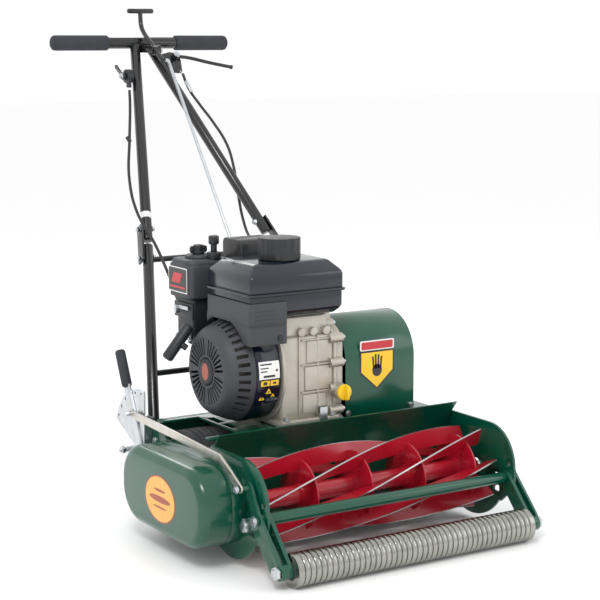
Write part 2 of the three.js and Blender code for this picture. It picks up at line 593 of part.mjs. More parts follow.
// ---------------------------------------------------------------- height adjustment
const FAN_X = -287;
const FAN_R = 112;
{
  const fanShape = new THREE.Shape();
  fanShape.absarc(LEVER_PIVOT.y, LEVER_PIVOT.z, FAN_R, 0.34, 1.72);
  fanShape.absarc(LEVER_PIVOT.y, LEVER_PIVOT.z, 14, Math.PI, 1.75 * Math.PI);
  const holes = [];
  for (let i = 0; i < 6; i++) {
    const a = 0.45 + 0.23 * i;
    const at = { y: LEVER_PIVOT.y + (FAN_R - 8) * Math.cos(a), z: LEVER_PIVOT.z + (FAN_R - 8) * Math.sin(a) };
    holes.push(rodX(FAN_X - 5, FAN_X + 9, at, 3.2, 6));
  }
  const fan = slabX(fanShape, FAN_X, FAN_X + 3, 10);
  const seat = rodX(FAN_X + 1, -PLATE_OUT - GAP, LEVER_PIVOT, 11, 16);
  const stud = rodX(-332, FAN_X + 1, LEVER_PIVOT, 4, 12);
  const nut = rodX(-328, -322, LEVER_PIVOT, 8, 6);
  const web = block(FAN_X, -PLATE_OUT - GAP, 474, 477, 156, 195);
  part('height_quadrant', cut(join(fan, seat, stud, nut, web), ...holes), ZINC());
}
const GRIP_A = { y: 535, z: 250 };
const GRIP_B = { y: 567, z: 320 };
part('height_lever', cut(join(
  strip(LEVER_PIVOT, GRIP_A, 12, FAN_X - 4.5, FAN_X - 0.5),
  strip(GRIP_A, { y: 551, z: 286 }, 7, FAN_X - 4.5, FAN_X - 0.5),
  rodX(-301, FAN_X - 4, LEVER_PIN, 4, 12)), rodX(-300, -280, LEVER_PIVOT, 4.6, 12)), ZINC());
part('height_grip', cut(rod(V(FAN_X - 2.5, GRIP_A.y, GRIP_A.z), V(FAN_X - 2.5, GRIP_B.y, GRIP_B.z), 10, 16),
  strip(LEVER_PIVOT, { y: 551, z: 286 }, 13, FAN_X - 5, FAN_X)), FOAM());
{
  const bend = { y: 168, z: 194 };
  const half = 7.5;
  const [x0, x1] = [FAN_X - 9, FAN_X - 5];
  const bar = join(strip(LEVER_PIN, bend, half, x0, x1), strip(bend, ARM_PIN, half, x0, x1));
  part('height_link', cut(bar, rodX(x0 - 1, x1 + 1, LEVER_PIN, 4.6, 12), rodX(x0 - 1, x1 + 1, ARM_PIN, 5.6, 12)), ZINC());
}

// Roller arms: one plate outside the side plate with an ear above the tie bar, a narrower one
// inside it, and a boss round the axle that joins them.
for (const [side, s] of [['left', -1], ['right', 1]]) {
  const span = (near, far) => [s * near, s * far].sort((a, b) => a - b);
  const [x0, x1] = span(PLATE_OUT + 5, PLATE_OUT + 10);
  const inner = span(PLATE_IN - 8, PLATE_IN - 1);
  const pieces = [
    strip({ y: 12, z: 36 }, { y: 72, z: 98 }, 19, x0, x1),
    strip(ROLLER, TIE, 14, ...inner),
    rodX(...span(PLATE_IN - 7, PLATE_OUT + 9), ROLLER, 14, 16),
    strip(TIE, ARM_PIN, 11, x0, x1),
    strip(TIE, CLAMP, 12, x0, x1),
    rodX(...span(PLATE_OUT + GAP, PLATE_OUT + 6), TIE, 13, 16),
    rodX(...span(PLATE_OUT + 9, PLATE_OUT + 15), TIE, 8, 6),
  ];
  if (s < 0) pieces.push(rodX(FAN_X - 14, x0 + 1, ARM_PIN, 4, 12));
  const holes = [
    rodX(x0 - 1, x1 + 1, CLAMP, 4.6, 12),
    rodX(...span(PLATE_IN - 9, PLATE_OUT + 11), ROLLER, 8.4, 16),
    rodX(...span(PLATE_IN - 9, PLATE_IN + GAP), TIE, TIE.r + GAP, 16),
  ];
  part(`roller_arm_${side}`, cut(join(...pieces), ...holes), GREEN());
  const lobes = [];
  for (let i = 0; i < 5; i++) {
    const a = (2 * Math.PI * i) / 5;
    const at = { y: CLAMP.y + 9 * Math.cos(a), z: CLAMP.z + 9 * Math.sin(a) };
    lobes.push(rodX(...span(PLATE_OUT + 10.5, PLATE_OUT + 18), at, 4, 6));
  }
  part(`clamp_knob_${side}`, join(
    rodX(...span(PLATE_OUT + 10.5, PLATE_OUT + 20), CLAMP, 9, 16),
    rodX(...span(PLATE_IN - 8, PLATE_OUT + 11), CLAMP, 4, 12),
    rodX(...span(PLATE_IN - 6, PLATE_IN - 0.5), CLAMP, 9, 6), ...lobes), ZINC());
}
part('roller_axle', join(
  rodX(-PLATE_OUT - 20, PLATE_OUT + 20, ROLLER, 7.5, 16),
  rodX(-PLATE_OUT - 17, -PLATE_OUT - 10.4, ROLLER, 12, 6),
  rodX(PLATE_OUT + 10.4, PLATE_OUT + 17, ROLLER, 12, 6)), ZINC());

// Front roller: ribbed tube on end hubs.
{
  const ribs = 8;
  const half = CUT / 2;
  const pitch = CUT / ribs;
  const profile = [[-half, 8.4]];
  for (let i = 0; i < ribs; i++) {
    const x = -half + i * pitch;
    profile.push([x + 0.1 * pitch, ROLLER.r], [x + 0.75 * pitch, ROLLER.r], [x + 0.88 * pitch, ROLLER.r - 3.5]);
  }
  profile.push([half, ROLLER.r - 3.5], [half, 8.4], [-half, 8.4]);
  part('front_roller', turnedX(profile, ROLLER, 16), STEEL());
}

// The origin is on the ground, under the middle of the whole mower.
const reach = new THREE.Box3().setFromObject(mower);
const middle = reach.getCenter(new THREE.Vector3());
mower.position.set(-middle.x, -middle.y, -reach.min.z);
mower.updateMatrixWorld(true);

export default mower;
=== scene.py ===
# Petrol reel mower with a 20 inch reel.
import json
import math

import bpy
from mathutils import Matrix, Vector

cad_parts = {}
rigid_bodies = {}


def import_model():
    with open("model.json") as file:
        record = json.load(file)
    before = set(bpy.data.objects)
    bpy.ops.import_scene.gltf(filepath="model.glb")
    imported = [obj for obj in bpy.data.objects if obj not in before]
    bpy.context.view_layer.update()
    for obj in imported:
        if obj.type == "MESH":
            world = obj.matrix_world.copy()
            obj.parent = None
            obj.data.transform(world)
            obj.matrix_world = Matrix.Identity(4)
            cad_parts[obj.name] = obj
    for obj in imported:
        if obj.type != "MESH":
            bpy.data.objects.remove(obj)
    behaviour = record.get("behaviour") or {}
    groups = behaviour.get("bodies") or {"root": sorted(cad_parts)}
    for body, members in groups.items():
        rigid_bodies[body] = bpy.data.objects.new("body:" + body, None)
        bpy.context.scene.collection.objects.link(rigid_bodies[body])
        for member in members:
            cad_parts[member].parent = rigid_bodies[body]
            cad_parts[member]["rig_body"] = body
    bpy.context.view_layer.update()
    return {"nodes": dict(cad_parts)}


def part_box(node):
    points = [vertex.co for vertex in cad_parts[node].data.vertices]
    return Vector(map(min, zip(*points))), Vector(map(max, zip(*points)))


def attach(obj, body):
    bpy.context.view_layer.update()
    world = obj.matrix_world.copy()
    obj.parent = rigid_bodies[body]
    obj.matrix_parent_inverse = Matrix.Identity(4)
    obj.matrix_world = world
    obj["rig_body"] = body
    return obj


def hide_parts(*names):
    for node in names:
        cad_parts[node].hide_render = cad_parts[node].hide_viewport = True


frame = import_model()

# ------------------------------------------------------------------ datum, camera and studio
# The mower is laid out in millimetres from the middle of the reel, the front roller's axis and
# the ground. The studio is a pale floor, a white room and three soft lights.
tie_low, tie_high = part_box("tie_bar")
roller_low, roller_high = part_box("front_roller")
DATUM = Vector(((tie_low.x + tie_high.x) / 2, (roller_low.y + roller_high.y) / 2, 0))


def at(x, y, z):
    return DATUM + Vector((x, y, z)) / 1000


def to_linear(code):
    channels = [int(code[i:i + 2], 16) / 255 for i in (1, 3, 5)]
    return [c / 12.92 if c <= 0.04045 else ((c + 0.055) / 1.055) ** 2.4 for c in channels] + [1]


def add_node(tree, kind, settings, links):
    node = tree.nodes.new(kind)
    for key, value in settings.items():
        if hasattr(node, str(key)):
            setattr(node, key, value)
        else:
            node.inputs[key].default_value = value
    for key, source in links.items():
        tree.links.new(source, node.inputs[key])
    return node


def start_material(name):
    material = bpy.data.materials.new(name)
    material.use_nodes = True
    tree = material.node_tree
    place = tree.nodes.new("ShaderNodeTexCoord").outputs["Object"]
    return material, tree, tree.nodes["Principled BSDF"], place


def noise(tree, place, scale, detail=2):
    pattern = add_node(tree, "ShaderNodeTexNoise", {"Scale": scale, "Detail": detail}, {"Vector": place})
    return pattern.outputs[0]


def two_tones(tree, shader, place, code, shade, scale, detail=2):
    # The base colour drifts between two close tones; gives back the drift.
    drift = noise(tree, place, scale, detail)
    tone = add_node(tree, "ShaderNodeMix", {"data_type": "RGBA", 6: to_linear(code), 7: to_linear(shade)},
                    {0: drift})
    tree.links.new(tone.outputs[2], shader.inputs["Base Color"])
    return drift


def relief(tree, shader, height, strength, distance):
    bump = add_node(tree, "ShaderNodeBump", {"Strength": strength, "Distance": distance}, {"Height": height})
    tree.links.new(bump.outputs[0], shader.inputs["Normal"])


def sheen(tree, shader, source, low, high):
    gloss = add_node(tree, "ShaderNodeMapRange", {"To Min": low, "To Max": high}, {"Value": source})
    tree.links.new(gloss.outputs[0], shader.inputs["Roughness"])


camera_data = bpy.data.cameras.new("camera")
camera_data.lens = 99
camera = bpy.data.objects.new("camera", camera_data)
camera.location = at(-1655, -2263, 909)
camera.rotation_euler = (math.radians(90 - 8.95), 0, math.radians(-32.1))
bpy.context.scene.collection.objects.link(camera)
bpy.context.scene.camera = camera
bpy.context.scene.view_settings.view_transform = "Standard"

bpy.ops.object.select_all(action="DESELECT")
bpy.ops.mesh.primitive_plane_add(size=40, location=(0, 0, -0.0005))
floor = bpy.context.object
floor.name = "floor"
floor_paint, tree, shader, place = start_material("matt_studio_floor")
two_tones(tree, shader, place, "#f9f9f9", "#fbfbfb", 3)
shader.inputs["Roughness"].default_value = 0.9
floor.data.materials.append(floor_paint)

world = bpy.data.worlds.new("white_room")
bpy.context.scene.world = world
world.use_nodes = True
world.node_tree.nodes["Background"].inputs[0].default_value = (1, 1, 1, 1)
world.node_tree.nodes["Background"].inputs[1].default_value = 1.02

middle_of_mower = Vector((0, -0.1, 0.4))
for name, spot, size, power in (
        ("key", (-1.5, -1.7, 2.6), 0.8, 30),
        ("fill", (2.4, -2.2, 1.6), 1.6, 8),
        ("back", (0.6, 2.6, 2.4), 1.4, 20)):
    lamp_data = bpy.data.lights.new(name, "AREA")
    lamp_data.size = size
    lamp_data.energy = power
    lamp = bpy.data.objects.new(name, lamp_data)
    lamp.location = spot
    lamp.rotation_euler = (middle_of_mower - lamp.location).to_track_quat("-Z", "Y").to_euler()
    bpy.context.scene.collection.objects.link(lamp)


# ------------------------------------------------------------------ side plates
# Two 5 mm steel sheets, laser cut and finished in a deep green gloss powder coat. They carry
# every shaft. Their cut edges are slightly rounded by the coat.
def powder_coat(name, code, shade, roughness):
    # Gloss powder coat: an even colour with a faint orange peel, about 2 mm from dimple to dimple.
    material, tree, shader, place = start_material(name)
    drift = two_tones(tree, shader, place, code, shade, 9, 3)
    relief(tree, shader, noise(tree, place, 480), 0.05, 0.0006)
    sheen(tree, shader, drift, roughness - 0.04, roughness + 0.08)
    shader.inputs["Coat Weight"].default_value = 0.35
    shader.inputs["Coat Roughness"].default_value = 0.08
    return material


green_enamel = powder_coat("green_powder_coat", "#02503c", "#014433", 0.2)


def modify(piece, kind, **settings):
    bpy.ops.object.select_all(action="DESELECT")
    piece.select_set(True)
    bpy.context.view_layer.objects.active = piece
    modifier = piece.modifiers.new(kind, kind)
    for key, value in settings.items():
        setattr(modifier, key, value)
    bpy.ops.object.modifier_apply(modifier=modifier.name)
    return piece


def edit(piece):
    bpy.ops.object.select_all(action="DESELECT")
    piece.select_set(True)
    bpy.context.view_layer.objects.active = piece
    bpy.ops.object.mode_set(mode="EDIT")
    bpy.ops.mesh.select_all(action="SELECT")


def done():
    bpy.ops.object.mode_set(mode="OBJECT")


def round_edges(piece, width, segments=2, angle=30):
    return modify(piece, "BEVEL", width=width / 1000, segments=segments, limit_method="ANGLE",
                  angle_limit=math.radians(angle))


def finish_piece(piece, name, body, material, replaced=(), smooth=35):
    bpy.ops.object.select_all(action="DESELECT")
    piece.select_set(True)
    bpy.context.view_layer.objects.active = piece
    bpy.ops.object.transform_apply(location=True, rotation=True, scale=True)
    bpy.ops.object.shade_smooth_by_angle(angle=math.radians(smooth))
    piece.name = name
    piece.data.materials.clear()
    piece.data.materials.append(material)
    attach(piece, body)
    if replaced:
        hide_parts(*replaced)
    return piece


# The same shape as a CAD node, with its flat faces whole and its edges rounded.
def softened(node, width, segments=2, angle=30):
    piece = bpy.data.objects.new(node, frame["nodes"][node].data.copy())
    bpy.context.scene.collection.objects.link(piece)
    edit(piece)
    bpy.ops.mesh.remove_doubles(threshold=0.00001)
    bpy.ops.mesh.dissolve_limited(angle_limit=math.radians(1))
    done()
    if width:
        round_edges(piece, width, segments, angle)
    return piece


def as_drawn(node, width, name, body, material, smooth=35, segments=2, angle=30):
    # A piece whose CAD shape is already the finished one, but for its sharp edges.
    return finish_piece(softened(node, width, segments, angle), name, body, material, [node], smooth)


def bolt(points, radius, height, axis, sides=6):
    # Hex heads on washers, one at each point, standing along the axis.
    heads = []
    turn = Vector((0, 0, 1)).rotation_difference(Vector(axis)).to_euler()
    for point in points:
        for r, low, high, n in ((radius * 1.35, 0, height * 0.3, 24), (radius, height * 0.3, height, sides)):
            middle = at(*point) + Vector(axis).normalized() * (low + high) / 2000
            bpy.ops.mesh.primitive_cylinder_add(vertices=n, radius=r / 1000, depth=(high - low) / 1000,
                                                location=middle, rotation=turn)
            heads.append(bpy.context.object)
    return joined(heads)


def joined(pieces):
    bpy.ops.object.select_all(action="DESELECT")
    for piece in pieces:
        piece.select_set(True)
    bpy.context.view_layer.objects.active = pieces[0]
    bpy.ops.object.transform_apply(location=True, rotation=True, scale=True)
    if len(pieces) > 1:
        bpy.ops.object.join()
    return bpy.context.object


def zinc_plated(name, code, roughness):
    # Bright zinc on pressed or rolled steel: a cool grey with soft clouds and fine drawn lines.
    material, tree, shader, place = start_material(name)
    cloud = two_tones(tree, shader, place, code, "#e2e4e6", 60, 5)
    sheen(tree, shader, cloud, roughness - 0.08, roughness + 0.14)
    relief(tree, shader, noise(tree, place, 700), 0.06, 0.0003)
    shader.inputs["Metallic"].default_value = 1
    return material


zinc = zinc_plated("bright_zinc_plate", "#b9bec2", 0.3)


def zinc_bolts(name, points, radius, height, axis, body="chassis"):
    return finish_piece(bolt(points, radius, height, axis), name, body, zinc)


for side in ("left", "right"):
    node = f"side_plate_{side}"
    as_drawn(node, 1.2, f"{node}_sheet", "chassis", green_enamel)
zinc_bolts("plate_bolts_left", [(-269, 463, 161), (-269, 492, 186), (-269, 505, 120)], 5, 5, (-1, 0, 0))
zinc_bolts("plate_bolts_right", [(269, 66, 128), (269, 205, 150), (269, 250, 84), (269, 463, 161),
                                 (269, 505, 120), (269, 478, 186)], 5, 5, (1, 0, 0))


# ------------------------------------------------------------------ tie bar
# A 21.5 mm steel tube between the plates, ahead of the reel, in the same green coat.
def bar(a, b, radius, sides=32, rounding=0.6):
    start, end = at(*a), at(*b)
    turn = Vector((0, 0, 1)).rotation_difference(end - start).to_euler()
    bpy.ops.object.select_all(action="DESELECT")
    bpy.ops.mesh.primitive_cylinder_add(vertices=sides, radius=radius / 1000, depth=(end - start).length,
                                        location=(start + end) / 2, rotation=turn)
    piece = bpy.context.object
    bpy.ops.object.transform_apply(location=True, rotation=True, scale=True)
    return round_edges(piece, rounding, 2, 50)


tie = bar((-263.6, 68, 103), (263.6, 68, 103), 10.75)
finish_piece(tie, "tie_bar_tube", "chassis", green_enamel, ["tie_bar"])

# ------------------------------------------------------------------ grass shield and bed
# The shield is a curled sheet behind the reel, the bed bar an angle that carries the knife,
# and the bed plate the pressed deck under the engine.
as_drawn("grass_shield", 0, "grass_shield_sheet", "chassis", green_enamel, 50)
as_drawn("bed_bar", 1, "bed_bar_angle", "chassis", green_enamel)
as_drawn("bed_plate", 1, "bed_plate_deck", "chassis", green_enamel)


def machined_steel(name, code, shade, roughness, scale):
    # Bright steel turned or ground: fine lines round the piece, with a little oil shade.
    material, tree, shader, place = start_material(name)
    lines = add_node(tree, "ShaderNodeMapping", {"Scale": (scale, 6, 6)}, {"Vector": place})
    tool = noise(tree, lines.outputs[0], 1, 3)
    two_tones(tree, shader, place, code, shade, 35, 4)
    sheen(tree, shader, tool, roughness - 0.06, roughness + 0.12)
    relief(tree, shader, tool, 0.12, 0.0003)
    shader.inputs["Metallic"].default_value = 1
    return material


bright_steel = machined_steel("turned_steel", "#a6a8ab", "#c6c8c9", 0.24, 900)
as_drawn("bed_knife", 0.6, "bed_knife_blade", "chassis", bright_steel)

# ------------------------------------------------------------------ chain case
# A pressed steel box on the left plate with round ends, closed by a deeper pressed cover whose
# flat oval face meets its sides in a wide soft shoulder. Both have the green coat.
def block(x0, x1, y0, y1, z0, z1):
    bpy.ops.object.select_all(action="DESELECT")
    bpy.ops.mesh.primitive_cube_add(size=0.001, location=at((x0 + x1) / 2, (y0 + y1) / 2, (z0 + z1) / 2),
                                    scale=(x1 - x0, y1 - y0, z1 - z0))
    piece = bpy.context.object
    bpy.ops.object.transform_apply(location=True, rotation=True, scale=True)
    return piece


def choose_edges(piece, test):
    # Selects the edges whose two ends, in millimetres, pass the test.
    edit(piece)
    bpy.ops.mesh.select_mode(type="EDGE")
    bpy.ops.mesh.select_all(action="DESELECT")
    bpy.ops.object.mode_set(mode="OBJECT")
    for edge in piece.data.edges:
        a, b = (piece.data.vertices[i].co - DATUM for i in edge.vertices)
        edge.select = test(a * 1000, b * 1000)
    bpy.ops.object.mode_set(mode="EDIT")


def rounded_block(x0, x1, y0, y1, z0, z1, corner, segments, along="x"):
    # A block whose four edges along one axis are rounded to the corner radius.
    piece = block(x0, x1, y0, y1, z0, z1)
    axis = "xyz".index(along)
    choose_edges(piece, lambda a, b: abs(a[axis] - b[axis]) > 0.01)
    bpy.ops.mesh.bevel(offset=corner / 1000, segments=segments, affect="EDGES")
    done()
    return piece


back = rounded_block(-296.6, -269.4, 121, 436, 35, 180, 66, 16)
round_edges(back, 1.5, 2, 50)
finish_piece(back, "chain_case_back", "chassis", green_enamel, ["chain_case"])

cover = rounded_block(-356, -297.8, 121, 436, 35, 180, 66, 20)
choose_edges(cover, lambda a, b: a.x < -355 and b.x < -355)
bpy.ops.mesh.bevel(offset=0.018, segments=8, affect="EDGES")
done()
finish_piece(cover, "chain_cover_pressing", "chassis", green_enamel, ["chain_cover"], 45)


def printed(name, code, shade):
    # Printed vinyl: a flat satin film with a faint mottle under its varnish.
    material, tree, shader, place = start_material(name)
    two_tones(tree, shader, place, code, shade, 120)
    shader.inputs["Roughness"].default_value = 0.35
    shader.inputs["Coat Weight"].default_value = 0.3
    return material


amber_vinyl = printed("amber_vinyl", "#eba437", "#f3b95a")
rust_vinyl = printed("rust_vinyl", "#a8441f", "#9a3c1c")
white_vinyl = printed("white_vinyl", "#ececea", "#e2e2e0")
yellow_vinyl = printed("yellow_vinyl", "#f4c61c", "#efbf15")
red_vinyl = printed("red_vinyl", "#c6262c", "#b92027")
black_vinyl = printed("black_vinyl", "#141416", "#1b1b1e")


def flat_label(outline, facing, thickness, name, material, body="chassis"):
    # A thin printed shape: its outline in order, in millimetres, raised towards the facing side.
    bpy.ops.object.select_all(action="DESELECT")
    bpy.ops.mesh.primitive_circle_add(vertices=len(outline), radius=1, fill_type="NGON")
    piece = bpy.context.object
    for vertex, point in zip(piece.data.vertices, outline):
        vertex.co = at(*point)
    edit(piece)
    lift = Vector(facing).normalized() * thickness / 1000
    bpy.ops.mesh.extrude_region_move(TRANSFORM_OT_translate={"value": lift})
    bpy.ops.mesh.select_all(action="SELECT")
    bpy.ops.mesh.normals_make_consistent(inside=False)
    done()
    return finish_piece(piece, name, body, material, (), 30)


def oval(x, y, z, half_y, half_z, count=48):
    return [(x, y + half_y * math.cos(math.tau * i / count), z + half_z * math.sin(math.tau * i / count))
            for i in range(count)]


badge_y = 276
flat_label(oval(-355.9, badge_y, 103, 58, 43), (-1, 0, 0), 0.4, "badge_edge", rust_vinyl)
flat_label(oval(-356.2, badge_y, 103, 55, 40.5), (-1, 0, 0), 0.3, "badge_field", amber_vinyl)
for i, (z, half_y, half_z) in enumerate(((103, 40, 6), (88, 26, 2), (119, 22, 2.6))):
    flat_label(oval(-356.45, badge_y, z, half_y, half_z, 24), (-1, 0, 0), 0.2, f"badge_band_{i}", rust_vinyl)

# ------------------------------------------------------------------ chains and belt drive
# Roller chains and sprockets in oiled steel, two V pulleys and a black V belt.
for node in ("reel_chain", "drum_chain", "jackshaft", "jackshaft_pulley", "engine_pulley"):
    body = frame["nodes"][node]["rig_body"]
    as_drawn(node, 0.3, f"{node}_steel", body, bright_steel)


def rubber(name, code, shade, grain_scale, roughness):
    # Moulded black rubber: matt, a little grey where it is dusty, with a fine mould grain.
    material, tree, shader, place = start_material(name)
    two_tones(tree, shader, place, code, shade, 22, 5)
    relief(tree, shader, noise(tree, place, grain_scale, 3), 0.25, 0.0006)
    shader.inputs["Roughness"].default_value = roughness
    return material


drum_rubber = rubber("moulded_black_rubber", "#26272a", "#3a3b3e", 900, 0.7)
as_drawn("drive_belt", 0.5, "drive_belt_rubber", "chassis", drum_rubber)

# ------------------------------------------------------------------ cutting reel
# Seven hardened blades spiral round five pressed spiders on a tube, all welded and painted red.
# Each blade's outer edge is ground to bare steel, and small rivet heads mark the spider joints.
red_enamel = powder_coat("red_enamel", "#b5142a", "#9c1024", 0.24)
reel_at = (162, 107)
reel_length = 508
reel_twist = math.radians(-112)


def wound_bar(depth, outer, thickness, turn):
    # A flat bar as long as the reel, wound round the reel's axis.
    bpy.ops.object.select_all(action="DESELECT")
    bpy.ops.mesh.primitive_cube_add(size=0.001, location=(0, (outer - depth / 2) / 1000, 0),
                                    scale=(reel_length, depth, thickness))
    piece = bpy.context.object
    bpy.ops.object.transform_apply(location=True, rotation=True, scale=True)
    choose_edges(piece, lambda a, b: abs(a.x - b.x) > 100)
    bpy.ops.mesh.subdivide(number_cuts=48)
    done()
    modify(piece, "SIMPLE_DEFORM", deform_method="TWIST", deform_axis="X", angle=reel_twist)
    piece.rotation_euler = (turn, 0, 0)
    piece.location = at(0, *reel_at)
    return piece


turns = [math.tau * (0.317 + i / 7) for i in range(7)]
reel_pieces = [wound_bar(32.2, 79.2, 3.2, turn) for turn in turns]
ground_edges = joined([wound_bar(1.4, 80, 2.6, turn) for turn in turns])


def turned(profile, y, z, sides=48):
    # A piece turned about an axis along X: a ring drawn along its profile of (x, radius).
    (x0, r0) = profile[0]
    bpy.ops.object.select_all(action="DESELECT")
    bpy.ops.mesh.primitive_circle_add(vertices=sides, radius=r0 / 1000, fill_type="NOTHING",
                                      location=at(x0, y, z), rotation=(0, math.pi / 2, 0))
    piece = bpy.context.object
    bpy.ops.object.transform_apply(location=True, rotation=True, scale=True)
    edit(piece)
    for (xa, ra), (xb, rb) in zip(profile, profile[1:]):
        bpy.ops.mesh.extrude_edges_move(TRANSFORM_OT_translate={"value": ((xb - xa) / 1000, 0, 0)})
        bpy.ops.transform.resize(value=(1, rb / ra, rb / ra), center_override=at(xb, y, z))
    bpy.ops.mesh.select_all(action="SELECT")
    bpy.ops.mesh.remove_doubles(threshold=0.000005)
    bpy.ops.mesh.fill_holes(sides=0)
    bpy.ops.mesh.select_all(action="SELECT")
    bpy.ops.mesh.normals_make_consistent(inside=False)
    done()
    return piece


rivets = []
for i in range(5):
    x = -251 + 116.5 * i
    reel_pieces.append(turned([(x - 2, 16), (x - 2, 63), (x - 1.4, 64), (x + 1.4, 64), (x + 2, 63), (x + 2, 16)],
                              *reel_at, 64))
    reel_pieces.append(turned([(x - 9, 17), (x - 8, 20), (x + 8, 20), (x + 9, 17)], *reel_at, 32))
    for turn in turns:
        along = turn + reel_twist * x / reel_length
        for lead, radius in ((-0.12, 56), (0.2, 40)):
            y = reel_at[0] + radius * math.cos(along + lead)
            z = reel_at[1] + radius * math.sin(along + lead)
            rivets.append(bar((x - 3.2, y, z), (x + 3.2, y, z), 2.2, 12, 0.9))
reel_pieces.append(turned([(-256, 16.4), (-255, 17), (255, 17), (256, 16.4)], *reel_at, 40))
finish_piece(joined(reel_pieces), "reel_blades", "reel", red_enamel, ["cutting_reel"], 40)
finish_piece(joined(rivets), "reel_rivets", "reel", red_enamel)
finish_piece(ground_edges, "reel_ground_edges", "reel", bright_steel)
reel_shaft = turned([(-295, 7.5), (-291, 7.5), (-291, 11.5), (-287, 11.5), (-287, 7.5), (276, 7.5), (277, 6.5)],
                    *reel_at, 24)
finish_piece(reel_shaft, "reel_shaft_steel", "reel", bright_steel)

# ------------------------------------------------------------------ rear drum
# A steel drum with a thick black rubber face, grooved all round for grip, on a steel cage.
def open_ends(piece, test=lambda face: True):
    # Takes the many-sided end faces off a turned piece, so that its neighbours weld to it.
    edit(piece)
    bpy.ops.mesh.select_all(action="DESELECT")
    bpy.ops.object.mode_set(mode="OBJECT")
    for face in piece.data.polygons:
        face.select = len(face.vertices) > 8 and test(face)
    bpy.ops.object.mode_set(mode="EDIT")
    bpy.ops.mesh.delete(type="ONLY_FACE")
    done()
    return piece


def repeated(piece, count, step):
    # Copies side by side along X, each welded to the next.
    return modify(piece, "ARRAY", count=count, use_relative_offset=False, use_constant_offset=True,
                  constant_offset_displace=(step / 1000, 0, 0), use_merge_vertices=True, merge_threshold=0.0001)


def welded(pieces):
    piece = joined(pieces)
    edit(piece)
    bpy.ops.mesh.remove_doubles(threshold=0.0001)
    bpy.ops.mesh.normals_make_consistent(inside=False)
    done()
    return piece


drum_at = (392, 95)
groove = turned([(-241.9, 95), (-234.2, 95), (-233.2, 92.6), (-230.9, 92.6), (-229.9, 95)], *drum_at, 72)
open_ends(groove, lambda face: abs(face.normal.x) > 0.99)
repeated(groove, 40, 12)
drum_ends = turned([(238.1, 95), (247, 95), (250, 92), (250, 86.5), (-250, 86.5), (-250, 92), (-247, 95),
                    (-241.9, 95)], *drum_at, 72)
drum = welded([groove, open_ends(drum_ends)])
finish_piece(drum, "drum_rubber_face", "drum", drum_rubber, ["drum_sleeve"], 25)
as_drawn("drum_core", 0, "drum_core_steel", "drum", bright_steel, 40)

# ------------------------------------------------------------------ belt guard
# An arched sheet cover over the engine pulley, closed at its outer end, with a warning panel
# on its front: a hand symbol on yellow, in a black and white border.
as_drawn("belt_guard", 1, "belt_guard_sheet", "chassis", green_enamel, 40, 2, 50)


def panel(x0, x1, z0, z1, y, corner):
    # An upright rectangle at y with clipped corners.
    return [(x0 + corner, y, z0), (x1 - corner, y, z0), (x1, y, z0 + corner), (x1, y, z1 - corner),
            (x1 - corner, y, z1), (x0 + corner, y, z1), (x0, y, z1 - corner), (x0, y, z0 + corner)]


def pentagon(x0, x1, z_top, z_side, z_tip, y):
    # A panel that comes to a point at the bottom.
    return [(x0, y, z_top), (x0, y, z_side), ((x0 + x1) / 2, y, z_tip), (x1, y, z_side), (x1, y, z_top)]


for outline, name, vinyl in (
        (panel(62, 140, 330, 349, 261.9, 2), "warning_head", white_vinyl),
        (panel(65, 137, 332, 346.5, 261.6, 1.5), "warning_band", red_vinyl),
        (pentagon(62, 140, 328, 288, 254, 261.9), "warning_edge", black_vinyl),
        (pentagon(65, 137, 326, 289.5, 258, 261.6), "warning_field", yellow_vinyl)):
    flat_label(outline, (0, -1, 0), 0.3, name, vinyl)
palm = []
for i in range(20):
    a = math.tau * i / 20
    palm.append((101 + 11 * math.cos(a), 261.3, 291 + 12 * math.sin(a)))
flat_label(palm, (0, -1, 0), 0.3, "hand_palm", black_vinyl)
for i, (x, lean, reach) in enumerate(((93.5, -2.4, 27), (98.3, -0.8, 31), (103.6, 0.8, 30), (108.6, 2.6, 26))):
    finger = [(x - 1.9, 261.3, 294), (x + 1.9, 261.3, 294), (x + 1.9 + lean, 261.3, 291 + reach),
              (x - 1.9 + lean, 261.3, 291 + reach)]
    flat_label(finger, (0, -1, 0), 0.3, f"hand_finger_{i}", black_vinyl)
zinc_bolts("guard_bolts", [(36, 262, 214), (182, 262, 214)], 4.5, 4, (0, -1, 0))
as_drawn("idler_arm", 0.4, "idler_arm_steel", "idler_arm", zinc)

# ------------------------------------------------------------------ crankcase
# Die-cast aluminium: a block with drafted faces, raised ribs, a side cover bolted round its rim,
# a foot flange on four bolts and a head above. As cast it is a warm grey with a fine grain.
cast_aluminium, tree, shader, place = start_material("die_cast_aluminium")
two_tones(tree, shader, place, "#a8a297", "#cdc8bd", 28, 6)
relief(tree, shader, noise(tree, place, 1100, 3), 0.25, 0.0005)
shader.inputs["Metallic"].default_value = 0.75
shader.inputs["Roughness"].default_value = 0.45

casting = [round_edges(block(-112, 4, 262, 438, 216, 372), 7, 3)]
casting.append(round_edges(block(-100, -6, 270, 408, 368, 409), 5, 3))
casting.append(round_edges(block(-116, 10, 252, 448, 204.6, 218), 3, 2))
casting.append(round_edges(rounded_block(2, 9, 260, 438, 210, 386, 40, 8), 1.5))
casting.append(round_edges(rounded_block(9.6, 24, 262, 436, 212, 384, 40, 8), 3, 3))
for x0, x1, y0, z0, z1 in (
        (-58, -10, 258.6, 320, 362), (-62, -8, 258.4, 268, 314), (-66, -14, 259.2, 224, 262)):
    casting.append(round_edges(block(x0, x1, y0, 266, z0, z1), 2.4, 3))
for z in (266, 317, 364):
    casting.append(round_edges(block(-70, 2, 257.6, 266, z - 1.6, z + 1.6), 1.2, 2))
for x in (-74, -34):
    casting.append(round_edges(block(x - 1.6, x + 1.6, 257.9, 266, 222, 372), 1.2, 2))
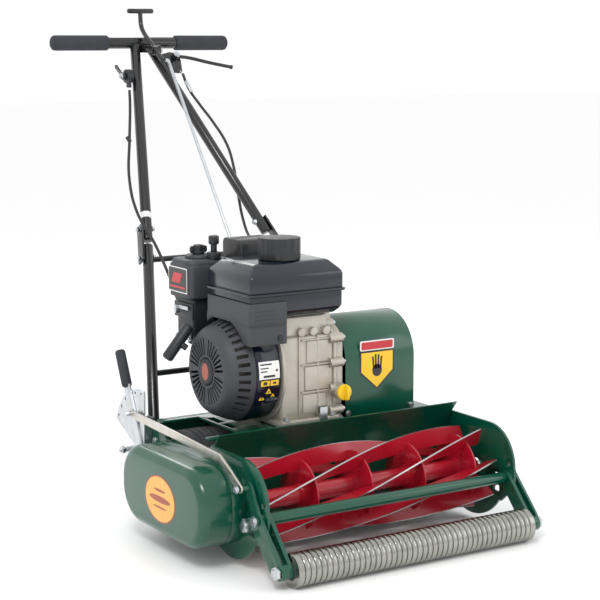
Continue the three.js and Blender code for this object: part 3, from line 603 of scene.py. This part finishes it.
rim_bosses = ((262, 226), (260, 268), (260, 316), (262, 362), (296, 384), (400, 384), (434, 340), (434, 260))
for y, z in rim_bosses:
    casting.append(turned([(-8, 8.4), (-7, 9), (20, 9), (21.4, 8)], y, z, 24))
for x, y, z in ((-66, 266, 378), (-40, 266, 378), (-12, 266, 378), (-12, 300, 400), (-66, 300, 400)):
    casting.append(bar((x, y + 14, z), (x, y - 4, z), 8, 20, 1.2))
casting.append(round_edges(block(-104, 2, 272, 300, 396, 409), 2, 2))
casting.append(bar((12, 268, 262), (12, 244, 262), 15, 32, 1.5))
casting.append(turned([(24, 24), (28, 22), (28, 12)], 345, 308, 32))
finish_piece(joined(casting), "crankcase_casting", "chassis", cast_aluminium,
             ["crankcase"], 30)

foot_bolts = bolt([(-104, 256, 218), (-4, 256, 218), (-104, 443, 218), (-4, 443, 218)], 5, 6, (0, 0, 1))
rim_bolts = bolt([(21.4, y, z) for y, z in rim_bosses], 4.4, 5, (1, 0, 0))
strap = [block(-34, -18, 250, 251.6, 206, 238), block(-34, -18, 250, 262, 236.6, 238)]
finish_piece(joined([foot_bolts, rim_bolts] + strap), "engine_bolts", "chassis", zinc)

as_drawn("flywheel", 1, "flywheel_casting", "crank", cast_aluminium)
as_drawn("crankshaft", 0.3, "crankshaft_steel", "crank", bright_steel)

# ------------------------------------------------------------------ dipstick
# A moulded yellow wing on a threaded plug, screwed into the crankcase's low filler.
yellow_plastic, tree, shader, place = start_material("yellow_polyamide")
two_tones(tree, shader, place, "#f2c20f", "#f6cd2a", 90)
shader.inputs["Roughness"].default_value = 0.35
plug = bar((12, 243.4, 262), (12, 236, 262), 15, 40, 2)
stem = bar((12, 240, 262), (12, 255, 262), 8, 24, 0.5)
wing = round_edges(rounded_block(9.5, 14.5, 224, 238, 248, 276, 6, 5), 1.4, 3)
finish_piece(joined([plug, stem, wing]), "dipstick_wing", "dipstick", yellow_plastic,
             ["dipstick"])

# ------------------------------------------------------------------ fan housing and starter cover
# Moulded black nylon with a satin grain. The housing is a drum round the flywheel; the starter
# cover is a cone whose face and rim are open slots between four spokes.
def moulded_plastic(name, code, shade, roughness):
    # Spark-eroded mould grain, about 1 mm across: it breaks the shine without dulling it.
    material, tree, shader, place = start_material(name)
    drift = two_tones(tree, shader, place, code, shade, 14, 3)
    relief(tree, shader, noise(tree, place, 850), 0.18, 0.0004)
    sheen(tree, shader, drift, roughness - 0.05, roughness + 0.08)
    return material


black_nylon = moulded_plastic("black_nylon", "#1b1d20", "#26282c", 0.4)
grey_nylon = moulded_plastic("charcoal_nylon", "#34363a", "#3e4045", 0.5)
gloss_nylon = moulded_plastic("gloss_black_nylon", "#0a0f1f", "#0f1528", 0.16)
crank_at = (345, 308)
housing_radius = 98

housing = turned([(-170, 93), (-170, 96.6), (-168, 98), (-152, 98), (-150, 97), (-121, 97), (-119, 95), (-119, 14),
                  (-123, 14), (-123, 93), (-170, 93)], *crank_at, 96)
ear = bar((-150, 258, 262), (-124, 258, 262), 6, 20, 1)
finish_piece(joined([housing, ear]), "fan_housing_shell", "chassis", gloss_nylon,
             ["blower_housing"], 40)
plate_ring = turned([(-118.6, 60), (-118.6, 103), (-117.8, 104.5), (-114, 104.5), (-112, 102), (-112, 60),
                     (-118.6, 60)], *crank_at, 96)
finish_piece(plate_ring, "engine_back_plate", "chassis", cast_aluminium, (), 40)

shell = turned([(-170.4, 95), (-176, 95), (-180, 94), (-208, 82.5), (-217, 76), (-221, 69), (-222, 64), (-222, 27),
                (-219, 25), (-217.5, 25), (-217.5, 14), (-214.5, 14), (-214.5, 29), (-219, 31), (-219, 63),
                (-218, 67.5), (-214, 73), (-206, 79), (-178.6, 90.5), (-176, 91), (-170.4, 91), (-170.4, 95)],
               *crank_at, 112)
slots = []
for i in range(36):
    angle = math.tau * i / 36
    if i % 9:
        slots.append((block(-230, -212, 376, 407, 305.9, 310.1), angle))
    slots.append((block(-202, -181, 415, 450, 304.6, 311.4), angle + math.tau / 72))
pivot = at(0, *crank_at)
for slot, angle in slots:
    edit(slot)
    bpy.ops.transform.rotate(value=-angle, orient_axis="X", center_override=pivot)
    done()
cutter = joined([slot for slot, angle in slots])
modify(shell, "BOOLEAN", operation="DIFFERENCE", object=cutter, solver="EXACT")
bpy.data.objects.remove(cutter)
finish_piece(shell, "starter_cover_shell", "chassis", grey_nylon, ["starter_cover"], 30)
hub = turned([(-218, 24.6), (-222, 24), (-224, 21), (-224.4, 8)], *crank_at, 48)
finish_piece(hub, "starter_cover_hub", "chassis", black_nylon, (), 40)
flat_label(oval(-224.3, *crank_at, 12, 16, 32), (-1, 0, 0), 0.4, "hub_badge", rust_vinyl)
screen = turned([(-210, 10), (-210, 72), (-208, 72), (-208, 10), (-210, 10)], *crank_at, 48)
finish_piece(screen, "starter_screen", "chassis", black_nylon, (), 40)
as_drawn("starter_reel", 0.8, "starter_reel_wheel", "starter_reel", black_nylon)


def wrapped_label(x0, x1, z0, z1, name, vinyl, lift):
    # A label on the front of the fan housing, following its curve. None carries words.
    bpy.ops.object.select_all(action="DESELECT")
    bpy.ops.mesh.primitive_grid_add(x_subdivisions=4, y_subdivisions=12, size=1)
    piece = bpy.context.object
    for vertex in piece.data.vertices:
        x = x0 + (x1 - x0) * (vertex.co.x + 0.5)
        z = z0 + (z1 - z0) * (vertex.co.y + 0.5)
        y = crank_at[0] - math.sqrt((housing_radius + lift) ** 2 - (z - crank_at[1]) ** 2)
        vertex.co = at(x, y, z)
    modify(piece, "SOLIDIFY", thickness=0.0003, offset=0)
    return finish_piece(piece, name, "chassis", vinyl, (), 30)


wrapped_label(-167, -124, 303, 335, "data_label", white_vinyl, 0.3)
for i, (x0, x1, z0, z1) in enumerate(((-164, -140, 328.5, 331), (-164, -147, 322, 324), (-164, -150, 316, 318),
                                      (-158, -134, 306, 310), (-132, -128, 316, 320))):
    wrapped_label(x0, x1, z0, z1, f"data_label_bar_{i}", black_vinyl, 0.6)
wrapped_label(-163, -145, 290, 300, "pictogram_left", yellow_vinyl, 0.3)
wrapped_label(-143, -126, 290, 300, "pictogram_right", yellow_vinyl, 0.3)
wrapped_label(-158, -150, 292, 298, "pictogram_left_mark", black_vinyl, 0.6)
wrapped_label(-138, -131, 293, 297, "pictogram_right_mark", black_vinyl, 0.6)
for i, (x, z) in enumerate(((-145, 276), (-157, 264), (-134, 265))):
    y = crank_at[0] - math.sqrt((housing_radius + 0.3) ** 2 - (z + 4 - crank_at[1]) ** 2)
    lean = 5 * (crank_at[1] - z) / housing_radius
    flat_label([(x - 6, y + lean, z - 1), (x + 6, y + lean, z - 1), (x, y, z + 9)], (0, -1, 0), 0.8,
               f"triangle_{i}", yellow_vinyl)
    mark = [(x - 2.2, y + lean - 0.9, z + 1), (x + 2.2, y + lean - 0.9, z + 1), (x, y - 0.9, z + 5)]
    flat_label(mark, (0, -1, 0),
               0.4, f"triangle_mark_{i}", black_vinyl)

# ------------------------------------------------------------------ upper shroud
# A charcoal nylon panel that wraps the engine's front corner and laps the tank's lower half, with
# a stack of shallow louvre lines on its front and one sunk screw.
as_drawn("engine_shroud", 2, "engine_shroud_panel", "chassis", grey_nylon, 30, 3, 50)
upper_panel = rounded_block(-192.4, -112, 236.6, 396, 404, 444, 6, 5, "z")
inside = rounded_block(-189.4, -105, 239.6, 402, 400, 450, 4, 5, "z")
modify(upper_panel, "BOOLEAN", object=inside, operation="DIFFERENCE", solver="EXACT")
bpy.data.objects.remove(inside)
round_edges(upper_panel, 0.8, 2)
finish_piece(upper_panel, "engine_shroud_upstand", "chassis", grey_nylon, (), 30)
louvres = [round_edges(block(-181, -138, 235.8, 241, z - 0.8, z + 0.8), 0.5, 2) for z in (430, 422, 414, 406)]
finish_piece(joined(louvres), "shroud_louvres", "chassis", grey_nylon)
shroud_screw = bar((-126, 241, 377), (-126, 237.6, 377), 5.5, 24, 1)
finish_piece(shroud_screw, "shroud_screw", "chassis", black_nylon)

# ------------------------------------------------------------------ fuel tank and cap
# Two deep-drawn halves joined at a rolled waist seam, painted black; the upper half has broad
# chamfers all round its top. The cap is moulded nylon with a scalloped grip.
tank_black = powder_coat("tank_black", "#0c131e", "#111a28", 0.16)
tank_halves = []
for corners, flat_z, chamfer in (
        ((-188, 10, 240, 400, 456, 512), 512, 21),
        ((-187, 9, 241, 399, 412, 458), 412, 12)):
    half = block(*corners)
    choose_edges(half, lambda a, b: abs(a.z - flat_z) < 1 and abs(b.z - flat_z) < 1)
    bpy.ops.mesh.bevel(offset=chamfer / 1000, segments=1, affect="EDGES")
    done()
    tank_halves.append(round_edges(half, 5, 3, 30))
seam = rounded_block(-193.5, 15.5, 234.5, 405.5, 455, 460, 12, 5, "z")
round_edges(seam, 1.6, 3, 50)
neck = bar((-92, 300, 508), (-92, 300, 526), 24, 40, 1)
finish_piece(joined(tank_halves + [seam, neck]), "fuel_tank_shell", "chassis", tank_black,
             ["fuel_tank"], 35)

cap = bar((-92, 300, 513.4), (-92, 300, 553), 39, 72, 0.01)
cap_middle = at(-92, 300, 0)
for vertex in cap.data.vertices:
    out = vertex.co - cap_middle
    flute = math.cos(14 * math.atan2(out.y, out.x)) < -0.2
    if math.hypot(out.x, out.y) > 0.03 and flute:
        vertex.co.x = cap_middle.x + out.x * 0.955
        vertex.co.y = cap_middle.y + out.y * 0.955
round_edges(cap, 2.4, 3, 60)
finish_piece(cap, "fuel_cap_moulding", "fuel_cap", black_nylon, ["fuel_cap"], 40)

# ------------------------------------------------------------------ air cleaner and carburettor
# A moulded box with a domed lid held by a wing knob and a small round cap beside it, on the
# carburettor, whose control plate has a silver choke slide. Its side panel has plain marks.
box_body = round_edges(rounded_block(-210, -118, 432, 516, 428, 492, 14, 6, "z"), 4, 3, 40)
box_lid = round_edges(rounded_block(-209, -119, 433, 515, 484, 501, 20, 6, "z"), 7, 4, 40)
dome = bar((-166, 474, 498), (-166, 474, 508), 26, 48, 4)
finish_piece(joined([box_body, box_lid, dome]), "air_cleaner_box", "chassis", grey_nylon,
             ["air_cleaner"], 40)
for outline, name, vinyl, x in (
        (((438, 438), (512, 438), (512, 486), (438, 486)), "cleaner_frame", white_vinyl, -210.1),
        (((440, 440), (510, 440), (510, 484), (440, 484)), "cleaner_field", black_vinyl, -210.4),
        (((446, 446), (504, 446), (504, 450), (446, 450)), "cleaner_band", red_vinyl, -210.7),
        (((466, 456), (500, 456), (490, 475), (456, 475)), "cleaner_mark", red_vinyl, -210.7)):
    flat_label([(x, y, z) for y, z in outline], (-1, 0, 0), 0.3, name, vinyl)
small_cap = [
    bar((-148, 446, 499), (-148, 446, 514), 13, 32, 2),
    bar((-148, 446, 512), (-148, 446, 534), 6, 24, 1),
    bar((-148, 446, 528), (-148, 446, 545), 10, 24, 3),
]
finish_piece(joined(small_cap), "air_cleaner_small_cap", "chassis", black_nylon, (), 40)
knob_skirt = bar((-166, 474, 508.6), (-166, 474, 515), 12, 36, 1.5)
knob_wing = round_edges(rounded_block(-184, -148, 471, 477, 510, 524, 5, 4, "y"), 1.5, 3)
knob_top = bar((-166, 474, 512), (-166, 474, 526), 10, 36, 2.5)
finish_piece(joined([knob_skirt, knob_wing, knob_top]), "air_cleaner_wing_knob", "air_cleaner_knob",
             black_nylon, ["air_cleaner_knob"], 40)
intake = [
    round_edges(block(-196, -150, 442, 506, 344, 427.5), 5, 3),
    round_edges(block(-200, -195, 438, 510, 388, 418), 1.5, 2),
    bar((-150, 470, 384), (-117, 470, 384), 14, 32, 1),
    round_edges(block(-118, -106, 441, 500, 350, 418), 2, 2),
    bar((-199, 452, 362), (-190, 452, 362), 9, 28, 1.5),
    bar((-173, 474, 336), (-173, 474, 346), 15, 32, 3),
]
finish_piece(joined(intake), "carburettor_body", "chassis", black_nylon, ["carburettor"], 35)
zinc_bolts("carburettor_screws", [(-199, 450, 352), (-199, 498, 352)], 4, 4, (-1, 0, 0))
as_drawn("choke_slide", 0.6, "choke_slide_tab", "choke_slide", zinc)

# ------------------------------------------------------------------ muffler
# A pressed steel box in heat-proof black, behind the tank, with a row of louvres on its outside.
stove_black = powder_coat("stove_black", "#1c1d1f", "#28292b", 0.55)
silencer = round_edges(rounded_block(-108, -24, 412, 484, 428, 536, 10, 5), 3, 3, 40)
pipe = bar((-66, 414, 424), (-66, 430, 440), 12, 28, 0.5)
fins = [round_edges(block(-98, -34, 482, 484.5, z - 2, z + 2), 1, 2) for z in range(446, 526, 11)]
finish_piece(joined([silencer, pipe] + fins), "muffler_box", "chassis", stove_black,
             ["muffler"], 35)

# ------------------------------------------------------------------ starter handle
# A moulded T grip with softened corners on a short neck.
pull_dir = Vector((-0.62, 0.58, 0.528)).normalized()
pull_at = Vector((-238, 424, 352))
cross = -Vector((0.78, -0.2, 0.55)).cross(pull_dir).cross(pull_dir).normalized()
grip_bar = bar(pull_at - cross * 38, pull_at + cross * 38, 11, 28, 4)
grip_neck = bar(pull_at, pull_at - pull_dir * 20, 6, 24, 1)
finish_piece(joined([grip_bar, grip_neck]), "starter_grip", "starter_handle", black_nylon,
             ["starter_handle"], 45)

# ------------------------------------------------------------------ handle
# Gloss black 22 mm tube legs in two bolted halves, meeting at a 25.4 mm handlebar with foam
# grips. The tube ends are flattened where they bolt together and at the side plates.
gloss_black = powder_coat("gloss_black_powder_coat", "#101113", "#191a1d", 0.22)
joint = Vector((143, 732, 500))
top = Vector((17, 1029, 897))
foot = Vector((252, 500, 184))
up = (top - joint).normalized()
down = (foot - joint).normalized()


def mirrored(point, s):
    return Vector((point.x * s, point.y, point.z))


upper_tubes = [bar((-211, 1033, 903), (211, 1033, 903), 12.7, 40, 1.5)]
lower_tubes = []
for s in (-1, 1):
    upper_tubes.append(bar(mirrored(joint + up * 6, s), mirrored(top, s), 11, 36, 2))
    lower_tubes.append(bar(mirrored(joint + down * 6, s), mirrored(foot, s), 11, 36, 2))
    inner, outer = sorted((258.6 * s, 263.6 * s))
    lower_tubes.append(round_edges(rounded_block(inner, outer, 478, 512, 140, 200, 8, 5), 1, 2))
for t in (40, 300):
    lower_tubes.append(bar(mirrored(joint + down * t, -1), mirrored(joint + down * t, 1), 6, 28, 0.4))
for x in (-11, 8):
    upper_tubes.append(round_edges(rounded_block(x, x + 3, 958, 1030, 882, 898, 7, 5), 0.6, 2))
upper_tubes.append(bar((-12, 965, 887), (12, 965, 887), 3.6, 24, 0.5))
finish_piece(joined(upper_tubes), "handle_upper_tubes", "chassis", gloss_black,
             ["handle_upper"], 40)
finish_piece(joined(lower_tubes), "handle_lower_tubes", "chassis", gloss_black,
             ["handle_lower"], 40)
for side, s in (("left", -1), ("right", 1)):
    as_drawn(f"handle_clamp_{side}", 0.8, f"handle_clamp_{side}_strap", "chassis", gloss_black)
    spots = [mirrored(joint + up * 34, s), mirrored(joint + down * 34, s)]
    heads = bolt([spot + Vector((s * 17, 0, 0)) for spot in spots], 5, 6, (s, 0, 0))
    tails = bolt([spot + Vector((-s * 10.5, 0, 0)) for spot in spots], 5, 6, (-s, 0, 0))
    finish_piece(joined([heads, tails]), f"handle_clamp_{side}_bolts", "chassis", zinc)
band = bar(mirrored(joint + up * 58, -1), mirrored(joint + up * 72, -1), 11.4, 36, 0.3)
finish_piece(band, "leg_band", "chassis", white_vinyl)

foam, tree, shader, place = start_material("closed_cell_foam")
cells = add_node(tree, "ShaderNodeTexVoronoi", {"Scale": 620}, {"Vector": place})
two_tones(tree, shader, place, "#2a2c31", "#3c3f45", 30, 4)
relief(tree, shader, cells.outputs[0], 0.35, 0.0007)
shader.inputs["Roughness"].default_value = 0.85
for side, s in (("left", -1), ("right", 1)):
    grip = turned([(s * 82, 12.9), (s * 82, 14.6), (s * 84, 16.2), (s * 87, 16.4), (s * 204, 16.4), (s * 209, 15.4),
                   (s * 212, 12), (s * 213, 7)], 1033, 903, 40)
    finish_piece(grip, f"grip_{side}_foam", "chassis", foam, [f"grip_{side}"], 40)

# ------------------------------------------------------------------ drive lever and rod
# A black rod lever with a T top, pivoted between two ears under the handlebar, pulls the long
# bright rod down to the belt idler.
def run_of(points, radius, sides=6):
    # A round bar or sheath bent smoothly through the points.
    bpy.ops.object.select_all(action="DESELECT")
    bpy.ops.curve.primitive_bezier_curve_add()
    piece = bpy.context.object
    spline = piece.data.splines[0]
    spline.bezier_points.add(len(points) - 2)
    for knot, point in zip(spline.bezier_points, points):
        knot.co = at(*point)
        knot.handle_left_type = knot.handle_right_type = "AUTO"
    piece.location = (0, 0, 0)
    piece.data.dimensions = "3D"
    piece.data.bevel_depth = radius / 1000
    piece.data.bevel_resolution = sides
    piece.data.use_fill_caps = True
    bpy.ops.object.convert(target="MESH")
    piece = bpy.context.object
    edit(piece)
    bpy.ops.mesh.remove_doubles(threshold=0.00001)
    bpy.ops.mesh.normals_make_consistent(inside=False)
    done()
    return piece


lever_rod = run_of([(0, 1035, 971), (0, 1034.5, 958), (0, 1031, 940), (0, 1021, 927), (0, 990, 906), (0, 930, 866)],
                   5)
lever_top = bar((-31, 1035, 972), (31, 1035, 972), 5.5, 28, 3)
lever_eye = turned([(-7, 4.4), (-7, 9), (-6, 10), (6, 10), (7, 9), (7, 4.4), (-7, 4.4)], 965, 887, 36)
finish_piece(joined([lever_rod, lever_top, lever_eye]), "drive_lever_rod", "drive_lever", gloss_black,
             ["drive_lever"], 40)
long_rod = [bar((13, 930, 866), (22, 484, 236), 3.5, 24, 0.5), bar((6, 930, 866), (13, 930, 866), 3.5, 24, 0.5)]
finish_piece(joined(long_rod), "drive_rod_bright", "drive_rod", zinc, ["drive_rod"], 40)
zinc_bolts("lever_pivot_bolt", [(11.4, 965, 887)], 5, 5, (1, 0, 0))

# ------------------------------------------------------------------ clutch and throttle levers
# A plate bracket on the right leg carries the black clutch lever on a bright bolt; a small
# moulded housing on the left leg holds the throttle lever and its wing screw.
as_drawn("clutch_bracket", 0.6, "clutch_bracket_plate", "chassis", gloss_black)
pivot_at = Vector((70, 1009, 871))
face_out = Vector((0, -0.801, 0.598))
rise = Vector((0, 0.598, 0.801))
zinc_bolts("clutch_pivot_bolt", [pivot_at + face_out * 12.6], 5.5, 4, face_out)


def on_plate(x, up_by, out_by):
    # A point from the pivot: along X, up the bracket's face and out from it.
    return pivot_at + Vector((x, 0, 0)) + rise * up_by + face_out * out_by


clutch_hub = bar(on_plate(0, 0, 2), on_plate(0, 0, 8.2), 9, 32, 1)
clutch_bar = run_of([on_plate(4, -1, 5.6), on_plate(30, -5, 5.6), on_plate(80, -19, 5.6), on_plate(131, -31.5, 5.6)],
                    3.9)
clutch_tip = bar(on_plate(128, -30.8, 5.6), on_plate(133.5, -32.1, 5.6), 5, 24, 2)
finish_piece(joined([clutch_hub, clutch_bar, clutch_tip]), "clutch_lever_bar", "clutch_lever",
             gloss_black, ["clutch_lever"], 40)
as_drawn("throttle_housing", 1.4, "throttle_housing_moulding", "chassis", black_nylon, 35, 3, 40)
as_drawn("throttle_lever", 0.7, "throttle_lever_arm", "throttle_lever", gloss_black)
zinc_bolts("throttle_pivot_screw", [(-76.2, 975, 832)], 5, 5, (-1, 0, 0), "throttle_lever")

# ------------------------------------------------------------------ control cables
# Black sheathed cables from each lever down its leg to the engine, with a bright barrel
# adjuster on the clutch cable and a clip on the throttle cable beside the left leg.
sheath = rubber("black_vinyl_sheath", "#1b1c1f", "#26272b", 400, 0.45)
clutch_route = [(72, 975, 836), (76, 957, 805), (90, 932, 770), (106, 905, 735), (122, 868, 684), (126, 848, 640),
                (120, 820, 586), (110, 780, 530), (98, 735, 500), (88, 690, 490), (66, 630, 455), (30, 560, 424),
                (-20, 515, 408), (-70, 502, 398), (-104, 488, 392)]
finish_piece(run_of(clutch_route, 3), "clutch_cable_sheath", "chassis", sheath,
             ["clutch_cable"], 60)
throttle_route = [(-70, 952, 802), (-80, 930, 775), (-110, 874, 706), (-141, 815, 624), (-152, 760, 562),
                  (-146, 690, 500), (-150, 620, 440), (-165, 560, 408), (-172, 512, 400)]
finish_piece(run_of(throttle_route, 3), "throttle_cable_sheath", "chassis", sheath,
             ["throttle_cable"], 60)
adjuster = joined([bar((74, 966, 820), (80, 951, 796), 4.6, 6, 0.4),
                   bar((70, 984, 842), (73, 972, 831), 2, 12, 0.2)])
finish_piece(adjuster, "cable_adjuster", "chassis", zinc, (), 30)
cable_tie = bar((-115.2, 876, 708), (-111, 869, 698), 4.2, 20, 0.6)
finish_piece(cable_tie, "cable_tie_left", "chassis", black_nylon)

# ------------------------------------------------------------------ height adjustment
# Zinc-plated: a fan-shaped plate with an arc of holes and a sprung pivot stud, a flat hand lever
# with a foam-black grip, and a long flat link bar down to the roller arm.
as_drawn("height_quadrant", 0.5, "height_quadrant_plate", "chassis", zinc)
coils = []
for i in range(7):
    x = -302 - 2.6 * i
    coils.append(turned([(x, 5.2), (x + 0.9, 6.4), (x + 1.8, 5.2), (x + 0.9, 4.4), (x, 5.2)], 487, 144, 28))
finish_piece(joined(coils), "stud_spring", "chassis", zinc, (), 60)
as_drawn("height_lever", 0.7, "height_lever_strip", "height_lever", zinc)
grip_core = bar((-289.5, 536.2, 252.6), (-289.5, 567, 320), 10, 32, 5)
finish_piece(grip_core, "height_grip_sleeve", "height_lever", foam, ["height_grip"], 50)
link_zinc = zinc_plated("yellowed_zinc_plate", "#c9bba6", 0.34)
as_drawn("height_link", 0.7, "height_link_bar", "height_link", link_zinc)
zinc_bolts("lever_pin_nut", [(-301, 513, 206)], 4.5, 4, (-1, 0, 0), "height_lever")
zinc_bolts("arm_pin_nut", [(-301, 98, 154)], 5.5, 5, (-1, 0, 0), "front_frame")

# ------------------------------------------------------------------ roller arms and clamp knobs
# Green arms swing on the ends of the tie bar, one plate inside each side plate and one outside,
# and hold the roller's axle. A zinc wing knob through each side plate's slot locks them.
for side in ("left", "right"):
    arm, knob = f"roller_arm_{side}", f"clamp_knob_{side}"
    as_drawn(arm, 0.9, f"{arm}_pressing", "front_frame", green_enamel)
    as_drawn(knob, 0.8, f"{knob}_turned", knob, zinc)
as_drawn("roller_axle", 0.6, "roller_axle_rod", "front_frame", zinc)
zinc_bolts("tie_bolt_left", [(-284.5, 68, 103)], 7, 5, (-1, 0, 0), "front_frame")

# ------------------------------------------------------------------ front roller
# A bright steel roller of turned rings, 11 mm from one to the next, with a plain band and a
# black bearing seal at each end.
roller_steel = machined_steel("oiled_roller_steel", "#8c8d85", "#b9b9b2", 0.17, 700)
ring = turned([(-242, 27.2), (-241, 29.2), (-239.6, 30), (-234.4, 30), (-233, 29.2), (-232, 27.2), (-231, 27.2)],
              0, 30, 64)
open_ends(ring)
repeated(ring, 44, 11)
left_end = turned([(-254, 12), (-254, 28.6), (-252.6, 30), (-244, 30), (-243, 28.6), (-242, 27.2)], 0, 30, 64)
right_end = turned([(242, 27.2), (243, 28.6), (244, 30), (252.6, 30), (254, 28.6), (254, 12)], 0, 30, 64)
for end in (left_end, right_end):
    open_ends(end, lambda face: abs((face.center - DATUM).x) < 0.25)
rings = welded([ring, left_end, right_end])
finish_piece(rings, "front_roller_rings", "front_roller", roller_steel, ["front_roller"], 30)
for name, s in (("roller_seal_left", -1), ("roller_seal_right", 1)):
    rim = [(s * 254.1, 8.4), (s * 254.1, 17), (s * 255, 16.4), (s * 255.6, 15), (s * 255.6, 8.4)]
    seal = turned(rim, 0, 30, 40)
    finish_piece(seal, name, "front_roller", drum_rubber)
